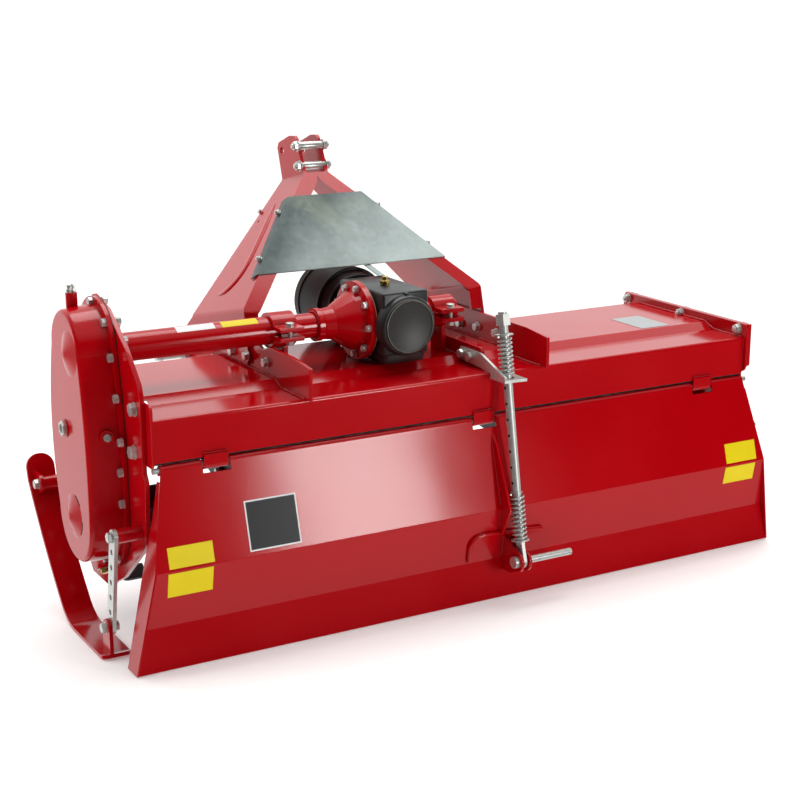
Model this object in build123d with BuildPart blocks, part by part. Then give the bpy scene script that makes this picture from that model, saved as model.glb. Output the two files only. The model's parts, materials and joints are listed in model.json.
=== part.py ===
from build123d import *
import math
import os

os.makedirs("parts", exist_ok=True)

# Rotary tiller for a Category 1 three-point linkage. Millimetres, +Z up, +Y forward
# (towards the tractor), +X to the machine's right seen from behind. The origin is on
# the ground under the middle of the machine.
#
# Stations are measured from the corner where the hood's left end meets the lower edge
# of its rear wall: x to the right, y forward, z up. side_view(x) is a plane across the
# machine at such a station, drawn in (y, z); at(x, y, z) is a point of the model.
corner_x = -746.5
corner_y = -267.5
hinge_height = 418.0

# Hood
hood_width = 1500.0
hood_sheet = 4.0
hood_wall_height = 88.0
hood_step_start = 108.0
hood_step_end = 138.0
hood_deck_height = 102.0
hood_deck_end = 412.0
hood_front = 465.0
hood_front_drop = -52.0
bend_radius = 6.0

# End plates and side plates
end_plate = 5.0
side_plate = 10.0
end_plate_rear = -10.0
end_plate_top = 120.0
rotor_y = 218.0
rotor_z = -153.0
shaft_y = 200.0
shaft_z = 193.0

# Drive case
gasket_thick = 2.0
flange_thick = 8.0
flange_width = 15.0
case_depth = 67.0
case_draft = 6.0
case_corner = 9.0
case_top_radius = 104.0
case_low_radius = 118.0
case_middle_y = 232.0
case_middle_z = 0.0
case_half_width = 131.0
cone_radius = 47.0
cone_height = 13.0
plug_radius = 15.0

# Side shaft
tube_radius = 30.0
tube_end = 400.0
tube_flange_radius = 56.0
tube_flange_thick = 12.0
trumpet_start = 455.0
trumpet_tube_radius = 27.0
trumpet_flange_radius = 86.0
trumpet_flange_thick = 13.0

# Gearbox
box_centre = 628.0
box_half = 62.0
box_neck = 6.0
box_rear = 100.0
box_front = 300.0
box_bottom = 127.0
box_top = 262.0
box_bevel = 16.0
rear_boss_radius = 60.0
rear_cover_radius = 52.0
rear_cover_thick = 4.0
rear_boss_length = 16.0
snout_radius = 50.0
snout_length = 38.0
stub_end = 806.0
stub_cap_radius = 64.0
stub_cap_thick = 14.0

# Support plates across the hood's deck, and the mast's arms bolted outside them
support_thick = 8.0
support_spread = 287.0
support_rear = -20.0
support_front = 470.0
support_top = 164.0
clamp_width = 56.0
clamp_thick = 8.0

# Mast
head_gap = 48.0
arm_thick = 8.0
arm_flange_width = 25.0
pin_radius = 9.5
pin_upper = (548.0, 538.0)
pin_lower = (536.0, 493.0)
spare_hole = (632.0, 519.0)
lower_pin_radius = 11.0
lower_pin = (600.0, 66.0)
lower_pin_spread = 341.5
stud_seat = 50.0
stud_tip = 16.0
stud_nut_thick = 18.0

# Skids
skid_width = 63.0
skid_thick = 8.0
skid_offset = 20.0
skid_flat_end = 240.0
skid_bend_end = (330.0, -376.0)
skid_sweep_middle = (412.0, -290.0)
skid_sweep_end = (516.0, -158.0)
skid_head = (532.0, -104.0)
skid_head_round = 30.0
skid_foot_round = 14.0
skid_pivot = (482.0, -159.0)
skid_link_top = (43.0, -149.0)
skid_link_low = (80.0, -352.0)
lug_thick = 8.0
link_thick = 8.0
link_end_radius = 15.5
link_holes = 7

# Tail board and its hinge
hinge_axis = (6.0, -16.0)
hinge_radius = 6.0
hinge_play = 0.5
board_sheet = 4.0
board_bend_1 = (-58.0, -204.0)
board_bend_2 = (-35.5, -325.5)
board_bottom = (-46.0, -415.0)
board_splay = 69.0
board_left_inset = 14.0
board_end_depth = 50.0
tab_width = 52.0
tab_play = 4.0
tab_clearance = 5.0
tab_stations = (132.0, 764.0, hood_width - 125.0)

# Spring rod
rod_x = 808.0
rod_radius = 10.0
rod_pin = (-97.0, -318.0)
rod_pin_radius = 8.0
rod_guide = (-28.0, 80.0)
spring_radius = 14.5
spring_wire = 4.5
coil_steps = 14
coil_sides = 8
lug_gap = 14.0
tail_lug_thick = 6.0

# Rotor
rotor_tube_radius = 38.0
rotor_flange_radius = 72.0
rotor_flange_thick = 8.0
rotor_flange_count = 7
rotor_radius = 224.0
tine_width = 38.0
tine_thick = 8.0
tine_foot = 62.0
tines_per_side = 3

box_left = box_centre - box_half
box_right = box_centre + box_half
rod_lean = math.atan2(rod_guide[0] - rod_pin[0], rod_guide[1] - rod_pin[1])


def at(x, y, z):
    """A station turned into a point of the model."""
    return Vector(corner_x + x, corner_y + y, hinge_height + z)


def side_view(x):
    """Plane across the machine at station x, drawn in stations (y, z)."""
    return Plane(origin=at(x, 0, 0), x_dir=(0, 1, 0), z_dir=(1, 0, 0))


def shaft_plane(x, y, z):
    """Plane square to the X axis whose origin is the station (x, y, z)."""
    return Plane(origin=at(x, y, z), x_dir=(0, 1, 0), z_dir=(1, 0, 0))


def save(piece, name):
    """Label a finished piece and write its STEP file."""
    piece.part.label = name
    export_step(piece.part, f"parts/{name}.step")


def flat_plate(name, x, thick, outline, radius=0.0, holes=()):
    """A plate square to X: outline in (y, z), rounded corners, holes as (y, z, r)."""
    with BuildPart() as plate:
        with BuildSketch(side_view(x)) as face:
            with BuildLine():
                Polyline(*outline, close=True)
            make_face()
            if radius:
                fillet(face.vertices(), radius)
            for y, z, r in holes:
                with Locations((y, z)):
                    Circle(r, mode=Mode.SUBTRACT)
        extrude(amount=thick)
    save(plate, name)
    return plate


# --- Hood: one sheet bent over the rotor -------------------------------------------
with BuildPart() as hood:
    with BuildSketch(side_view(0)):
        with BuildLine() as skin:
            FilletPolyline(
                (0, 0),
                (0, hood_wall_height),
                (hood_step_start, hood_wall_height),
                (hood_step_end, hood_deck_height),
                (hood_deck_end, hood_deck_height),
                (hood_front, hood_front_drop),
                radius=bend_radius,
            )
            offset(amount=hood_sheet, side=Side.RIGHT)
        make_face()
    extrude(amount=hood_width)
save(hood, "hood")

# --- End plates welded to the hood's ends --------------------------------------------
for name, x, low in (("hood_end_left", -end_plate, -8.0), ("hood_end_right", hood_width, 5.0)):
    outline = (
        (end_plate_rear, low),
        (end_plate_rear, end_plate_top),
        (hood_front, end_plate_top),
        (hood_front, low),
    )
    flat_plate(name, x, end_plate, outline, radius=12.0)

# --- Side plates that carry the rotor ------------------------------------------------
plate_left_x = -end_plate - side_plate
plate_right_x = hood_width + end_plate
rotor_bore = (rotor_y, rotor_z, rotor_tube_radius + 8.0)
low_outline = (
    (19, -21), (9, -37), (15, -169), (25, -180), (153, -282), (243, -331), (347, -331),
    (430, -235), (505, -185), (505, -135), (470, -100),
)
left_outline = ((19, 88), *low_outline, (480, 60), (430, 150), (330, 262), (262, 297),
                (183, 278), (90, 216), (28, 155), (18, 127))
right_outline = ((end_plate_rear, 20), (19, 0), *low_outline[1:], (hood_front, 0),
                 (hood_front, end_plate_top), (end_plate_rear, end_plate_top))
flat_plate("side_plate_left", plate_left_x, side_plate, left_outline, holes=(rotor_bore,))
flat_plate("side_plate_right", plate_right_x, side_plate, right_outline, holes=(rotor_bore,))

# --- Drive case on the left side plate -----------------------------------------------
gasket_x = plate_left_x - gasket_thick
flange_x = gasket_x - flange_thick
case_face_x = flange_x - case_depth


def case_outline(margin):
    """Oval round both shafts: two end arcs and two bulged sides, drawn in stations."""
    top_r = case_top_radius - margin
    low_r = case_low_radius - margin
    half = case_half_width - margin
    top_y = case_middle_y
    ThreePointArc((top_y - top_r, shaft_z), (top_y, shaft_z + top_r), (top_y + top_r, shaft_z))
    ThreePointArc((rotor_y - low_r, rotor_z), (rotor_y, rotor_z - low_r), (rotor_y + low_r, rotor_z))
    for side in (-1, 1):
        ThreePointArc(
            (top_y + side * top_r, shaft_z),
            (case_middle_y + side * half, case_middle_z),
            (rotor_y + side * low_r, rotor_z),
        )


with BuildPart() as case_gasket:
    with BuildSketch(side_view(gasket_x)):
        with BuildLine():
            case_outline(0.0)
        make_face()
    extrude(amount=gasket_thick)
save(case_gasket, "case_gasket")

with BuildPart() as case_cover:
    with BuildSketch(side_view(flange_x)):
        with BuildLine():
            case_outline(0.0)
        make_face()
    extrude(amount=flange_thick)
    with BuildSketch(side_view(flange_x)):
        with BuildLine():
            case_outline(flange_width)
        make_face()
    with BuildSketch(side_view(case_face_x)):
        with BuildLine():
            case_outline(flange_width + case_draft)
        make_face()
    loft()
    fillet(case_cover.faces().sort_by(Axis.X)[0].edges(), case_corner)
    for y, z in ((shaft_y, shaft_z), (rotor_y, rotor_z)):
        with BuildSketch(shaft_plane(case_face_x, y, z)):
            Circle(cone_radius)
        with BuildSketch(shaft_plane(case_face_x - cone_height, y, z)):
            Circle(cone_radius * 0.12)
        loft()
    # boss for the filler on top of the case
    with BuildSketch(Plane(origin=at(flange_x - 35, 262, shaft_z + 80), z_dir=(0, 0, 1))):
        Circle(12)
    extrude(amount=31)
save(case_cover, "case_cover")

with BuildPart() as case_filler:
    with BuildSketch(Plane(origin=at(flange_x - 35, 262, shaft_z + 111), z_dir=(0, 0, 1))):
        RegularPolygon(10, 6)
    extrude(amount=8)
    with BuildSketch(Plane(origin=at(flange_x - 35, 262, shaft_z + 119), z_dir=(0, 0, 1))):
        Circle(7)
    extrude(amount=10)
save(case_filler, "case_filler")

with BuildPart() as sight_plug:
    with BuildSketch(shaft_plane(case_face_x - 10, 245, 28)):
        RegularPolygon(plug_radius, 6)
        Circle(plug_radius * 0.6, mode=Mode.SUBTRACT)
    extrude(amount=10)
    with BuildSketch(shaft_plane(case_face_x - 6, 245, 28)):
        Circle(plug_radius * 0.6)
    extrude(amount=6)
save(sight_plug, "sight_plug")

# --- Side shaft tube between the case and the gearbox --------------------------------
tube_start = -end_plate


def turned(name, profile, y=shaft_y, z=shaft_z):
    """A turned piece about a shaft line along X; profile as (station x, radius)."""
    line = [(corner_x + x, r) for x, r in profile]
    with BuildPart() as piece:
        axis_plane = Plane(origin=(0, corner_y + y, hinge_height + z), x_dir=(1, 0, 0),
                           z_dir=(0, -1, 0))
        with BuildSketch(axis_plane):
            with BuildLine():
                Polyline((line[0][0], 0), *line, (line[-1][0], 0), close=True)
            make_face()
        revolve(axis=Axis(axis_plane.origin, (1, 0, 0)))
    save(piece, name)
    return piece


turned("side_shaft_tube", (
    (tube_start, tube_flange_radius),
    (tube_start + tube_flange_thick, tube_flange_radius),
    (tube_start + tube_flange_thick, tube_radius + 6),
    (tube_start + tube_flange_thick + 14, tube_radius),
    (tube_end, tube_radius),
))
turned("gearbox_trumpet", (
    (tube_end, trumpet_tube_radius),
    (trumpet_start, trumpet_tube_radius),
    (trumpet_start, trumpet_tube_radius + 9),
    (trumpet_start + 12, trumpet_tube_radius + 9),
    (trumpet_start + 16, trumpet_tube_radius + 6),
    (trumpet_start + 40, trumpet_tube_radius + 9),
    (box_left - trumpet_flange_thick - 14, trumpet_flange_radius - 24),
    (box_left - trumpet_flange_thick, trumpet_flange_radius - 20),
    (box_left - trumpet_flange_thick, trumpet_flange_radius),
    (box_left, trumpet_flange_radius),
))
turned("gearbox_stub", (
    (box_right, stub_cap_radius),
    (box_right + stub_cap_thick, stub_cap_radius),
    (box_right + stub_cap_thick, trumpet_tube_radius + 8),
    (box_right + stub_cap_thick + 16, trumpet_tube_radius),
    (stub_end, trumpet_tube_radius),
))

# --- Bevel gearbox -------------------------------------------------------------------
box_length = box_front - box_rear


def facing(x, y, z, direction):
    """Plane whose normal is +Y or -Y at a station; its local x runs along +X."""
    return Plane(origin=at(x, y, z), x_dir=(1, 0, 0), z_dir=(0, direction, 0))


with BuildPart() as gearbox:
    with BuildSketch(facing(box_centre, box_rear, (box_top + box_bottom) / 2, 1)):
        Rectangle(2 * (box_half - box_neck), box_top - box_bottom)
    extrude(amount=box_length)
    chamfer(gearbox.edges().filter_by(Axis.Y), box_bevel)
    chamfer(gearbox.faces().sort_by(Axis.Y)[0].edges(), box_bevel / 2)
    # round necks for the trumpet's flange and the right bearing cap
    with BuildSketch(shaft_plane(box_left, shaft_y, shaft_z)):
        Circle(trumpet_flange_radius - 3)
    extrude(amount=box_neck + 16)
    with BuildSketch(shaft_plane(box_right - box_neck - 8, shaft_y, shaft_z)):
        Circle(stub_cap_radius)
    extrude(amount=box_neck + 8)
    # rear bearing boss and front snout on the input shaft's line
    with BuildSketch(facing(box_centre, box_rear + 8, shaft_z, -1)):
        Circle(rear_boss_radius)
    extrude(amount=rear_boss_length + 8)
    with BuildSketch(facing(box_centre, box_front, shaft_z, 1)):
        Circle(snout_radius)
    extrude(amount=snout_length)
save(gearbox, "gearbox_housing")

rear_face_y = box_rear - rear_boss_length
with BuildPart() as rear_cover:
    with BuildSketch(facing(box_centre, rear_face_y, shaft_z, -1)):
        Circle(rear_cover_radius)
    extrude(amount=rear_cover_thick)
    fillet(rear_cover.faces().sort_by(Axis.Y)[0].edges(), 1.5)
save(rear_cover, "gearbox_rear_cover")

with BuildPart() as breather:
    with BuildSketch(Plane(origin=at(box_centre, 192, box_top))):
        RegularPolygon(9, 6)
    extrude(amount=6)
    with BuildSketch(Plane(origin=at(box_centre, 192, box_top + 6))):
        Circle(6)
    extrude(amount=12)
save(breather, "gearbox_breather")

# --- Input shaft and its bell shield --------------------------------------------------
snout_end = box_front + snout_length
bell_inner = 76.0
bell_outer = 90.0
bell_length = 150.0
bell_wall = 4.0
pto_end = 470.0
pto_radius = 17.45
with BuildPart() as pto_shield:
    with BuildSketch(Plane(origin=at(box_centre, 0, shaft_z), x_dir=(0, 1, 0), z_dir=(1, 0, 0))):
        with BuildLine():
            Polyline(
                (box_front + 14, snout_radius + 0.1),
                (box_front + 14, bell_inner),
                (snout_end + 10, bell_inner + 6),
                (snout_end + 10, bell_outer - 4),
                (snout_end + bell_length - 30, bell_outer),
                (snout_end + bell_length - 30, bell_outer - bell_wall),
                (snout_end + 10 + bell_wall, bell_outer - 4 - bell_wall),
                (snout_end + 10 + bell_wall, bell_inner + 2),
                (box_front + 14 + bell_wall, bell_inner - bell_wall),
                (box_front + 14 + bell_wall, snout_radius + 0.1),
                close=True,
            )
        make_face()
    revolve(axis=Axis(at(box_centre, 0, shaft_z), (0, 1, 0)))
save(pto_shield, "pto_shield")

spline_teeth = 6
with BuildPart() as pto_shaft:
    with BuildSketch(facing(box_centre, snout_end + 0.3, shaft_z, 1)):
        Circle(pto_radius)
    extrude(amount=pto_end - snout_end)
    with BuildSketch(facing(box_centre, snout_end + 30, shaft_z, 1)):
        with PolarLocations(pto_radius, spline_teeth):
            Rectangle(5, 8)
    extrude(amount=pto_end - snout_end, mode=Mode.SUBTRACT)
save(pto_shaft, "pto_shaft")

# --- Support plates and tube clamps ----------------------------------------------------
# each plate's lower edge follows the hood's deck and is cut back a little at its step
deck_z = hood_deck_height
step_cut = 1.5
deck_seat = ((hood_step_end, deck_z), (hood_step_start + step_cut, hood_wall_height + step_cut),
             (hood_step_start - step_cut, hood_wall_height))
support_outline = (
    (support_rear, hood_wall_height), (support_rear, support_top - 8), (60, support_top),
    (support_front, support_top), (support_front, 60), (hood_deck_end + 24, 60),
    (hood_deck_end, deck_z), *deck_seat,
)
tube_notch = (shaft_y, shaft_z, tube_radius + clamp_thick + 1)
support_left_x = box_centre - support_spread - support_thick
support_right_x = box_centre + support_spread
flat_plate("support_plate_left", support_left_x, support_thick, support_outline,
           holes=(tube_notch,))
flat_plate("support_plate_right", support_right_x, support_thick, support_outline)
spring_plate_x = 787.0
spring_plate_outline = ((44, hood_wall_height), (44, 126), (52, 134), (250, 134), (250, deck_z),
                        *deck_seat)
flat_plate("spring_plate", spring_plate_x, support_thick, spring_plate_outline)


def tube_clamp(name, x, radius, foot_z, foot_x):
    """A split band round the shaft tube with two ears to the rear and a foot plate."""
    outer = radius + clamp_thick
    with BuildPart() as clamp:
        with BuildSketch(shaft_plane(x, shaft_y, shaft_z)):
            Circle(outer)
            with Locations((-outer - 10, 0)):
                Rectangle(40, 30)
            Circle(radius, mode=Mode.SUBTRACT)
            with Locations((-outer - 10, 0)):
                Rectangle(60, 12, mode=Mode.SUBTRACT)
        extrude(amount=clamp_width)
        with BuildSketch(side_view(foot_x)):
            with BuildLine():
                Polyline((shaft_y - 24, foot_z), (shaft_y - 24, shaft_z - radius - 3),
                         (shaft_y + 24, shaft_z - radius - 3), (shaft_y + 24, foot_z), close=True)
            make_face()
        extrude(amount=10)
    save(clamp, name)


clamp_gap = 3.0
clamp_left_x = support_left_x + support_thick + clamp_gap
clamp_right_x = box_right + stub_cap_thick + 38.0
tube_clamp("tube_clamp_left", clamp_left_x, tube_radius, deck_z, clamp_left_x + 28.0)
tube_clamp("tube_clamp_right", clamp_right_x, trumpet_tube_radius, deck_z, clamp_right_x + 23.0)

# --- Mast: two arms bent from plate about parallel lines ------------------------------
# bend_plane is square to the bend lines; its x is the machine's x, its y runs up the arm.
bend_tilt = math.radians(12.85)
bend_plane = Plane(origin=at(0, 0, 0), x_dir=(1, 0, 0),
                   z_dir=(0, -math.cos(bend_tilt), math.sin(bend_tilt)))
head_x = box_centre - head_gap / 2
foot_x = support_left_x
arm_upper_bend = 577.0
arm_lower_bend = 278.0
arm_line = ((head_x, 720.0), (head_x, arm_upper_bend), (foot_x, arm_lower_bend), (foot_x, 110.0))
arm_outline = (
    (656, 524), (650, 537), (592, 558), (566, 560), (558, 554), (519, 479), (274, 222),
    (257, 160), (262, 108), (418, 108), (480, 80), (578, 34), (640, 34), (640, 100),
    (565, 157), (633, 453),
)
arm_rear = ((519, 479), (274, 222), (261, 172))


def arm_station(y, z):
    """Station x of the left arm's inboard face at a point (y, z) of its sloping part."""
    height = y * math.sin(bend_tilt) + z * math.cos(bend_tilt)
    share = (height - arm_lower_bend) / (arm_upper_bend - arm_lower_bend)
    return foot_x + share * (head_x - foot_x)


def bent_strip(thick, side):
    """The arm's bent plate before it is cut to outline, thick mm to one side of its line."""
    with BuildPart() as strip:
        with BuildSketch(bend_plane):
            with BuildLine():
                FilletPolyline(*arm_line, radius=14.0)
                offset(amount=thick, side=side)
            make_face()
        extrude(amount=800, both=True)
    return strip.part


with BuildPart() as arm_flange:
    add(bent_strip(arm_flange_width, Side.LEFT))
    with BuildSketch(side_view(0)):
        with BuildLine():
            rear_edge = Polyline(*arm_rear)
            offset(rear_edge, amount=arm_thick, side=Side.LEFT)
        make_face()
    extrude(amount=box_centre, mode=Mode.INTERSECT)

with BuildPart() as arm_left:
    add(bent_strip(arm_thick, Side.RIGHT))
    with BuildSketch(side_view(0)):
        with BuildLine():
            Polyline(*arm_outline, close=True)
        make_face()
        for y, z in (pin_upper, pin_lower, spare_hole):
            with Locations((y, z)):
                Circle(pin_radius + 0.1, mode=Mode.SUBTRACT)
        with Locations(lower_pin):
            Circle(lower_pin_radius + 0.1, mode=Mode.SUBTRACT)
    extrude(amount=box_centre, mode=Mode.INTERSECT)
    add(arm_flange.part)
save(arm_left, "mast_arm_left")

middle = Plane(origin=at(box_centre, 0, 0), x_dir=(0, 1, 0), z_dir=(1, 0, 0))


def save_mirrored(piece, name):
    """The same piece on the other side of the hitch's middle plane."""
    with BuildPart() as copy:
        mirror(piece.part, about=middle)
    save(copy, name)


save_mirrored(arm_left, "mast_arm_right")


def turned_pin(name, plane, steps):
    """A round pin as (length, radius) steps along the plane's normal."""
    with BuildPart() as pin:
        start = 0.0
        for length, radius in steps:
            with BuildSketch(plane.offset(start)):
                Circle(radius)
            extrude(amount=length)
            start += length
    save(pin, name)


head_left_x = head_x - arm_thick
pin_relief = 0.2
head_length = 8.0
for name, (y, z) in (("top_link_pin_upper", pin_upper), ("top_link_pin_lower", pin_lower)):
    steps = ((head_length, pin_radius + 5), (arm_thick, pin_radius - pin_relief), (head_gap, pin_radius),
             (arm_thick, pin_radius - pin_relief), (head_length, pin_radius + 5))
    turned_pin(name, shaft_plane(head_left_x - head_length, y, z), steps)

# --- Lower hitch: a stud each side, nutted through the arm's foot, its outer end free ----
arm_outer = support_spread + support_thick + arm_thick
stud_shoulder = lower_pin_spread - stud_seat / 2 - arm_outer
for side, name in ((-1, "left"), (1, "right")):
    nut_face = box_centre + side * (arm_outer - arm_thick - stud_nut_thick)
    turned_pin(f"lower_hitch_stud_{name}", Plane(origin=at(nut_face, *lower_pin), z_dir=(side, 0, 0)), (
        (stud_nut_thick, lower_pin_radius + 7),
        (arm_thick, lower_pin_radius - pin_relief),
        (stud_shoulder, lower_pin_radius + 8),
        (stud_seat, lower_pin_radius),
        (stud_tip, lower_pin_radius - pin_relief),
    ))

# --- Galvanised shield between the arms -------------------------------------------------
shield_sheet = 2.5
shield_top = (479.0, 437.0)
shield_low = (333.0, 283.8)
shield_overhang_top = 33.8
shield_overhang_low = 26.9
shield_flange = 24.0
shield_half_top = box_centre - arm_station(*shield_top) + shield_overhang_top
shield_half_low = box_centre - arm_station(*shield_low) + shield_overhang_low
slope = math.atan2(shield_top[1] - shield_low[1], shield_top[0] - shield_low[0])
shield_length = math.hypot(shield_top[0] - shield_low[0], shield_top[1] - shield_low[1])
shield_plane = Plane(origin=at(box_centre, *shield_low), x_dir=(1, 0, 0),
                     z_dir=(0, -math.sin(slope), math.cos(slope)))
with BuildPart() as shield:
    with BuildSketch(shield_plane.offset(0.3)):
        with BuildLine():
            Polyline((-shield_half_low, 0), (shield_half_low, 0), (shield_half_top, shield_length),
                     (-shield_half_top, shield_length), close=True)
        make_face()
    extrude(amount=shield_sheet)
    for side in (-1, 1):
        with BuildSketch(shield_plane.offset(0.3)):
            with BuildLine():
                Polyline((side * shield_half_low, 0), (side * shield_half_top, shield_length),
                         (side * (shield_half_top - shield_sheet), shield_length),
                         (side * (shield_half_low - shield_sheet), 0), close=True)
            make_face()
        extrude(amount=-shield_flange)
save(shield, "shield_plate")

# --- Skids: a curved bar each side, a front pivot and a drilled rear link ----------------
skid_lug_radius = 20.0
skid_bolt_radius = 6.0
skid_bolt_play = 0.5
skid_lug_x = 14.0
skid_tip = (62.0, 5.0)
skid_tail_flat = 84.0


def lug(x, thick, centre, root, radius, hole):
    """A plate square to X: round at its centre, running down to two root points."""
    with BuildPart() as ear:
        with BuildSketch(side_view(x)):
            with BuildLine():
                Polyline(*root, close=True)
            make_face()
            with Locations(centre):
                Circle(radius)
            make_hull()
            with Locations(centre):
                Circle(hole, mode=Mode.SUBTRACT)
        extrude(amount=thick)
    return ear.part


def skid_piece(x):
    """A ski-shaped bar with the pivot lug at its front and the link lug at its rear."""
    low = -hinge_height
    top = low + skid_thick
    with BuildPart() as skid:
        with BuildSketch(side_view(x)):
            with BuildLine():
                tail = Line((skid_tip[0], low + skid_tip[1]), (skid_tail_flat, low))
                flat = Line(tail @ 1, (skid_flat_end, low))
                # the flat reaches under the machine's centre of gravity, so that it stands
                bend = TangentArc(flat @ 1, skid_bend_end, tangent=(1, 0))
                rise = ThreePointArc(bend @ 1, skid_sweep_middle, skid_sweep_end)
                Line(rise @ 1, skid_head)
                offset(amount=skid_thick, side=Side.LEFT)
            make_face()
        extrude(amount=skid_width)
        # the head is cut round and the foot's corners are rounded
        corners = skid.edges().filter_by(lambda edge: abs(edge.length - skid_thick) < 0.2)
        fillet(corners.sort_by(Axis.Z)[-2:], skid_head_round)
        corners = skid.edges().filter_by(lambda edge: abs(edge.length - skid_thick) < 0.2)
        fillet(corners.sort_by(Axis.Y)[:2], skid_foot_round)
        front_root = ((514, -185), (519, -140), (500, -140))
        add(lug(x + skid_lug_x, lug_thick, skid_pivot, front_root, skid_lug_radius,
                skid_bolt_radius + skid_bolt_play))
        rear_root = ((skid_link_low[0] - 20, top - 1), (skid_link_low[0] + 24, top - 1),
                     (skid_link_low[0] + 20, top + 8))
        add(lug(x + skid_lug_x, lug_thick, skid_link_low, rear_root, 18.0,
                skid_bolt_radius + skid_bolt_play))
    return skid


def skid_link(x):
    """A flat galvanised bar with a row of holes, from the side plate's boss to the skid."""
    with BuildPart() as link:
        with BuildSketch(side_view(x)):
            with Locations(skid_link_top, skid_link_low):
                Circle(link_end_radius)
            make_hull()
            for index in range(link_holes):
                share = index / (link_holes - 1)
                y = skid_link_top[0] + share * (skid_link_low[0] - skid_link_top[0])
                z = skid_link_top[1] + share * (skid_link_low[1] - skid_link_top[1])
                with Locations((y, z)):
                    Circle(skid_bolt_radius, mode=Mode.SUBTRACT)
        extrude(amount=link_thick)
    return link


left_skid_x = plate_left_x - skid_offset - skid_width
link_x = left_skid_x + skid_lug_x + lug_thick + 0.3
skid = skid_piece(left_skid_x)
link = skid_link(link_x)
save(skid, "skid_left")
save(link, "skid_link_left")
right_mirror = Plane(origin=at((plate_left_x + plate_right_x + side_plate) / 2, 0, 0),
                     x_dir=(0, 1, 0), z_dir=(1, 0, 0))
for piece, name in ((skid, "skid_right"), (link, "skid_link_right")):
    with BuildPart() as copy:
        mirror(piece.part, about=right_mirror)
    save(copy, name)

# spacers welded to the side plates: a long one for the pivot, a short one for the link
pivot_spacer = plate_left_x - (left_skid_x + skid_lug_x + lug_thick) - 0.3
link_spacer = plate_left_x - (link_x + link_thick) - 0.3
for side, name in ((-1, "left"), (1, "right")):
    start = plate_left_x if side < 0 else plate_right_x + side_plate
    with BuildPart() as spacers:
        for (y, z), reach in ((skid_pivot, pivot_spacer), (skid_link_top, link_spacer)):
            with BuildSketch(Plane(origin=at(start, y, z), z_dir=(side, 0, 0))):
                Circle(15)
                Circle(skid_bolt_radius, mode=Mode.SUBTRACT)
            extrude(amount=reach)
    save(spacers, f"skid_spacers_{name}")

# --- Rotor bearings: a sealed housing on each side plate ----------------------------------
bearing_radius = 62.0
bearing_reach = 30.0
shaft_end_radius = 22.0
turned_bearing = (
    (plate_right_x + side_plate, bearing_radius),
    (plate_right_x + side_plate + 10, bearing_radius),
    (plate_right_x + side_plate + 10, bearing_radius - 18),
    (plate_right_x + side_plate + bearing_reach, bearing_radius - 24),
)
turned("rotor_bearing_right", turned_bearing, rotor_y, rotor_z)

# --- Hinge of the tail board: a rod in three straps on the hood ---------------------------
axis_y, axis_z = hinge_axis
curl_outer = hinge_radius + hinge_play + board_sheet
rod_overhang_right = 14.0
with BuildPart() as hinge_rod:
    with BuildSketch(shaft_plane(0, *hinge_axis)):
        Circle(hinge_radius)
    extrude(amount=hood_width + rod_overhang_right)
save(hinge_rod, "hinge_rod")

with BuildPart() as hinge_tabs:
    for station in tab_stations:
        with BuildSketch(side_view(station - tab_width / 2)):
            with Locations(hinge_axis):
                Circle(curl_outer)
            with Locations((axis_y - curl_outer + board_sheet / 2 - 0.3, axis_z / 2 + 3)):
                Rectangle(board_sheet, -axis_z + 6)
            with Locations(hinge_axis):
                Circle(hinge_radius + 0.05, mode=Mode.SUBTRACT)
        extrude(amount=tab_width)
save(hinge_tabs, "hinge_tabs")

# --- Tail board: bent sheet curled round the hinge rod, with ends folded forward ----------
board_top = (axis_y - curl_outer, axis_z)
board_line = (board_top, board_bend_1, board_bend_2, board_bottom)
board_drop = -board_bottom[1]
with BuildPart() as tail_board:
    with BuildSketch(side_view(-board_splay)):
        with BuildLine():
            FilletPolyline(*board_line, radius=bend_radius)
            offset(amount=board_sheet, side=Side.LEFT)
        make_face()
        with Locations(hinge_axis):
            Circle(curl_outer)
            Circle(hinge_radius + hinge_play, mode=Mode.SUBTRACT)
    extrude(amount=hood_width + 2 * board_splay)
    # the board widens downwards
    with BuildSketch(Plane(origin=at(0, -200, 0), x_dir=(1, 0, 0), z_dir=(0, -1, 0))):
        with BuildLine():
            Polyline((board_left_inset, 20), (hood_width, 20), (hood_width, axis_z),
                     (hood_width + board_splay, -board_drop), (-board_splay, -board_drop),
                     (board_left_inset, axis_z), close=True)
        make_face()
    extrude(amount=-400, mode=Mode.INTERSECT)
    # slots where the hinge straps come through
    for station in tab_stations:
        with BuildSketch(side_view(station - tab_width / 2 - tab_play)):
            with Locations((axis_y, axis_z - curl_outer - tab_clearance)):
                Rectangle(3 * curl_outer, 6 * curl_outer, align=(Align.CENTER, Align.MIN))
        extrude(amount=tab_width + 2 * tab_play, mode=Mode.SUBTRACT)
    # ends folded forward
    left_splay = board_splay + board_left_inset
    for side, x, splay in ((-1, board_left_inset, left_splay), (1, hood_width, board_splay)):
        splay_angle = math.atan2(splay, board_drop)
        drop = 1 / math.cos(splay_angle)
        end_outline = (
            (board_bend_1[0], -board_bend_1[1] * drop),
            (board_bottom[0], board_drop * drop),
            (board_bottom[0] + board_end_depth, board_drop * drop),
            (board_bend_1[0] + board_end_depth + 10, -board_bend_1[1] * drop),
            (board_top[0], 110 * drop),
            (board_top[0] + 6, 36 * drop),
            (board_top[0] - 5, 36 * drop),
        )
        normal = (side * math.cos(splay_angle), 0, math.sin(splay_angle))
        plane = Plane(origin=at(x, 0, 0), x_dir=(0, 1, 0), z_dir=normal)
        flip = -side
        with BuildSketch(plane):
            with BuildLine():
                Polyline(*[(y, flip * v) for y, v in end_outline], close=True)
            make_face()
        extrude(amount=-board_sheet)
save(tail_board, "tail_board")

# --- Rib and lugs on the tail board -------------------------------------------------------
rib_x = 778.0
rib_depth = 34.0


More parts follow.
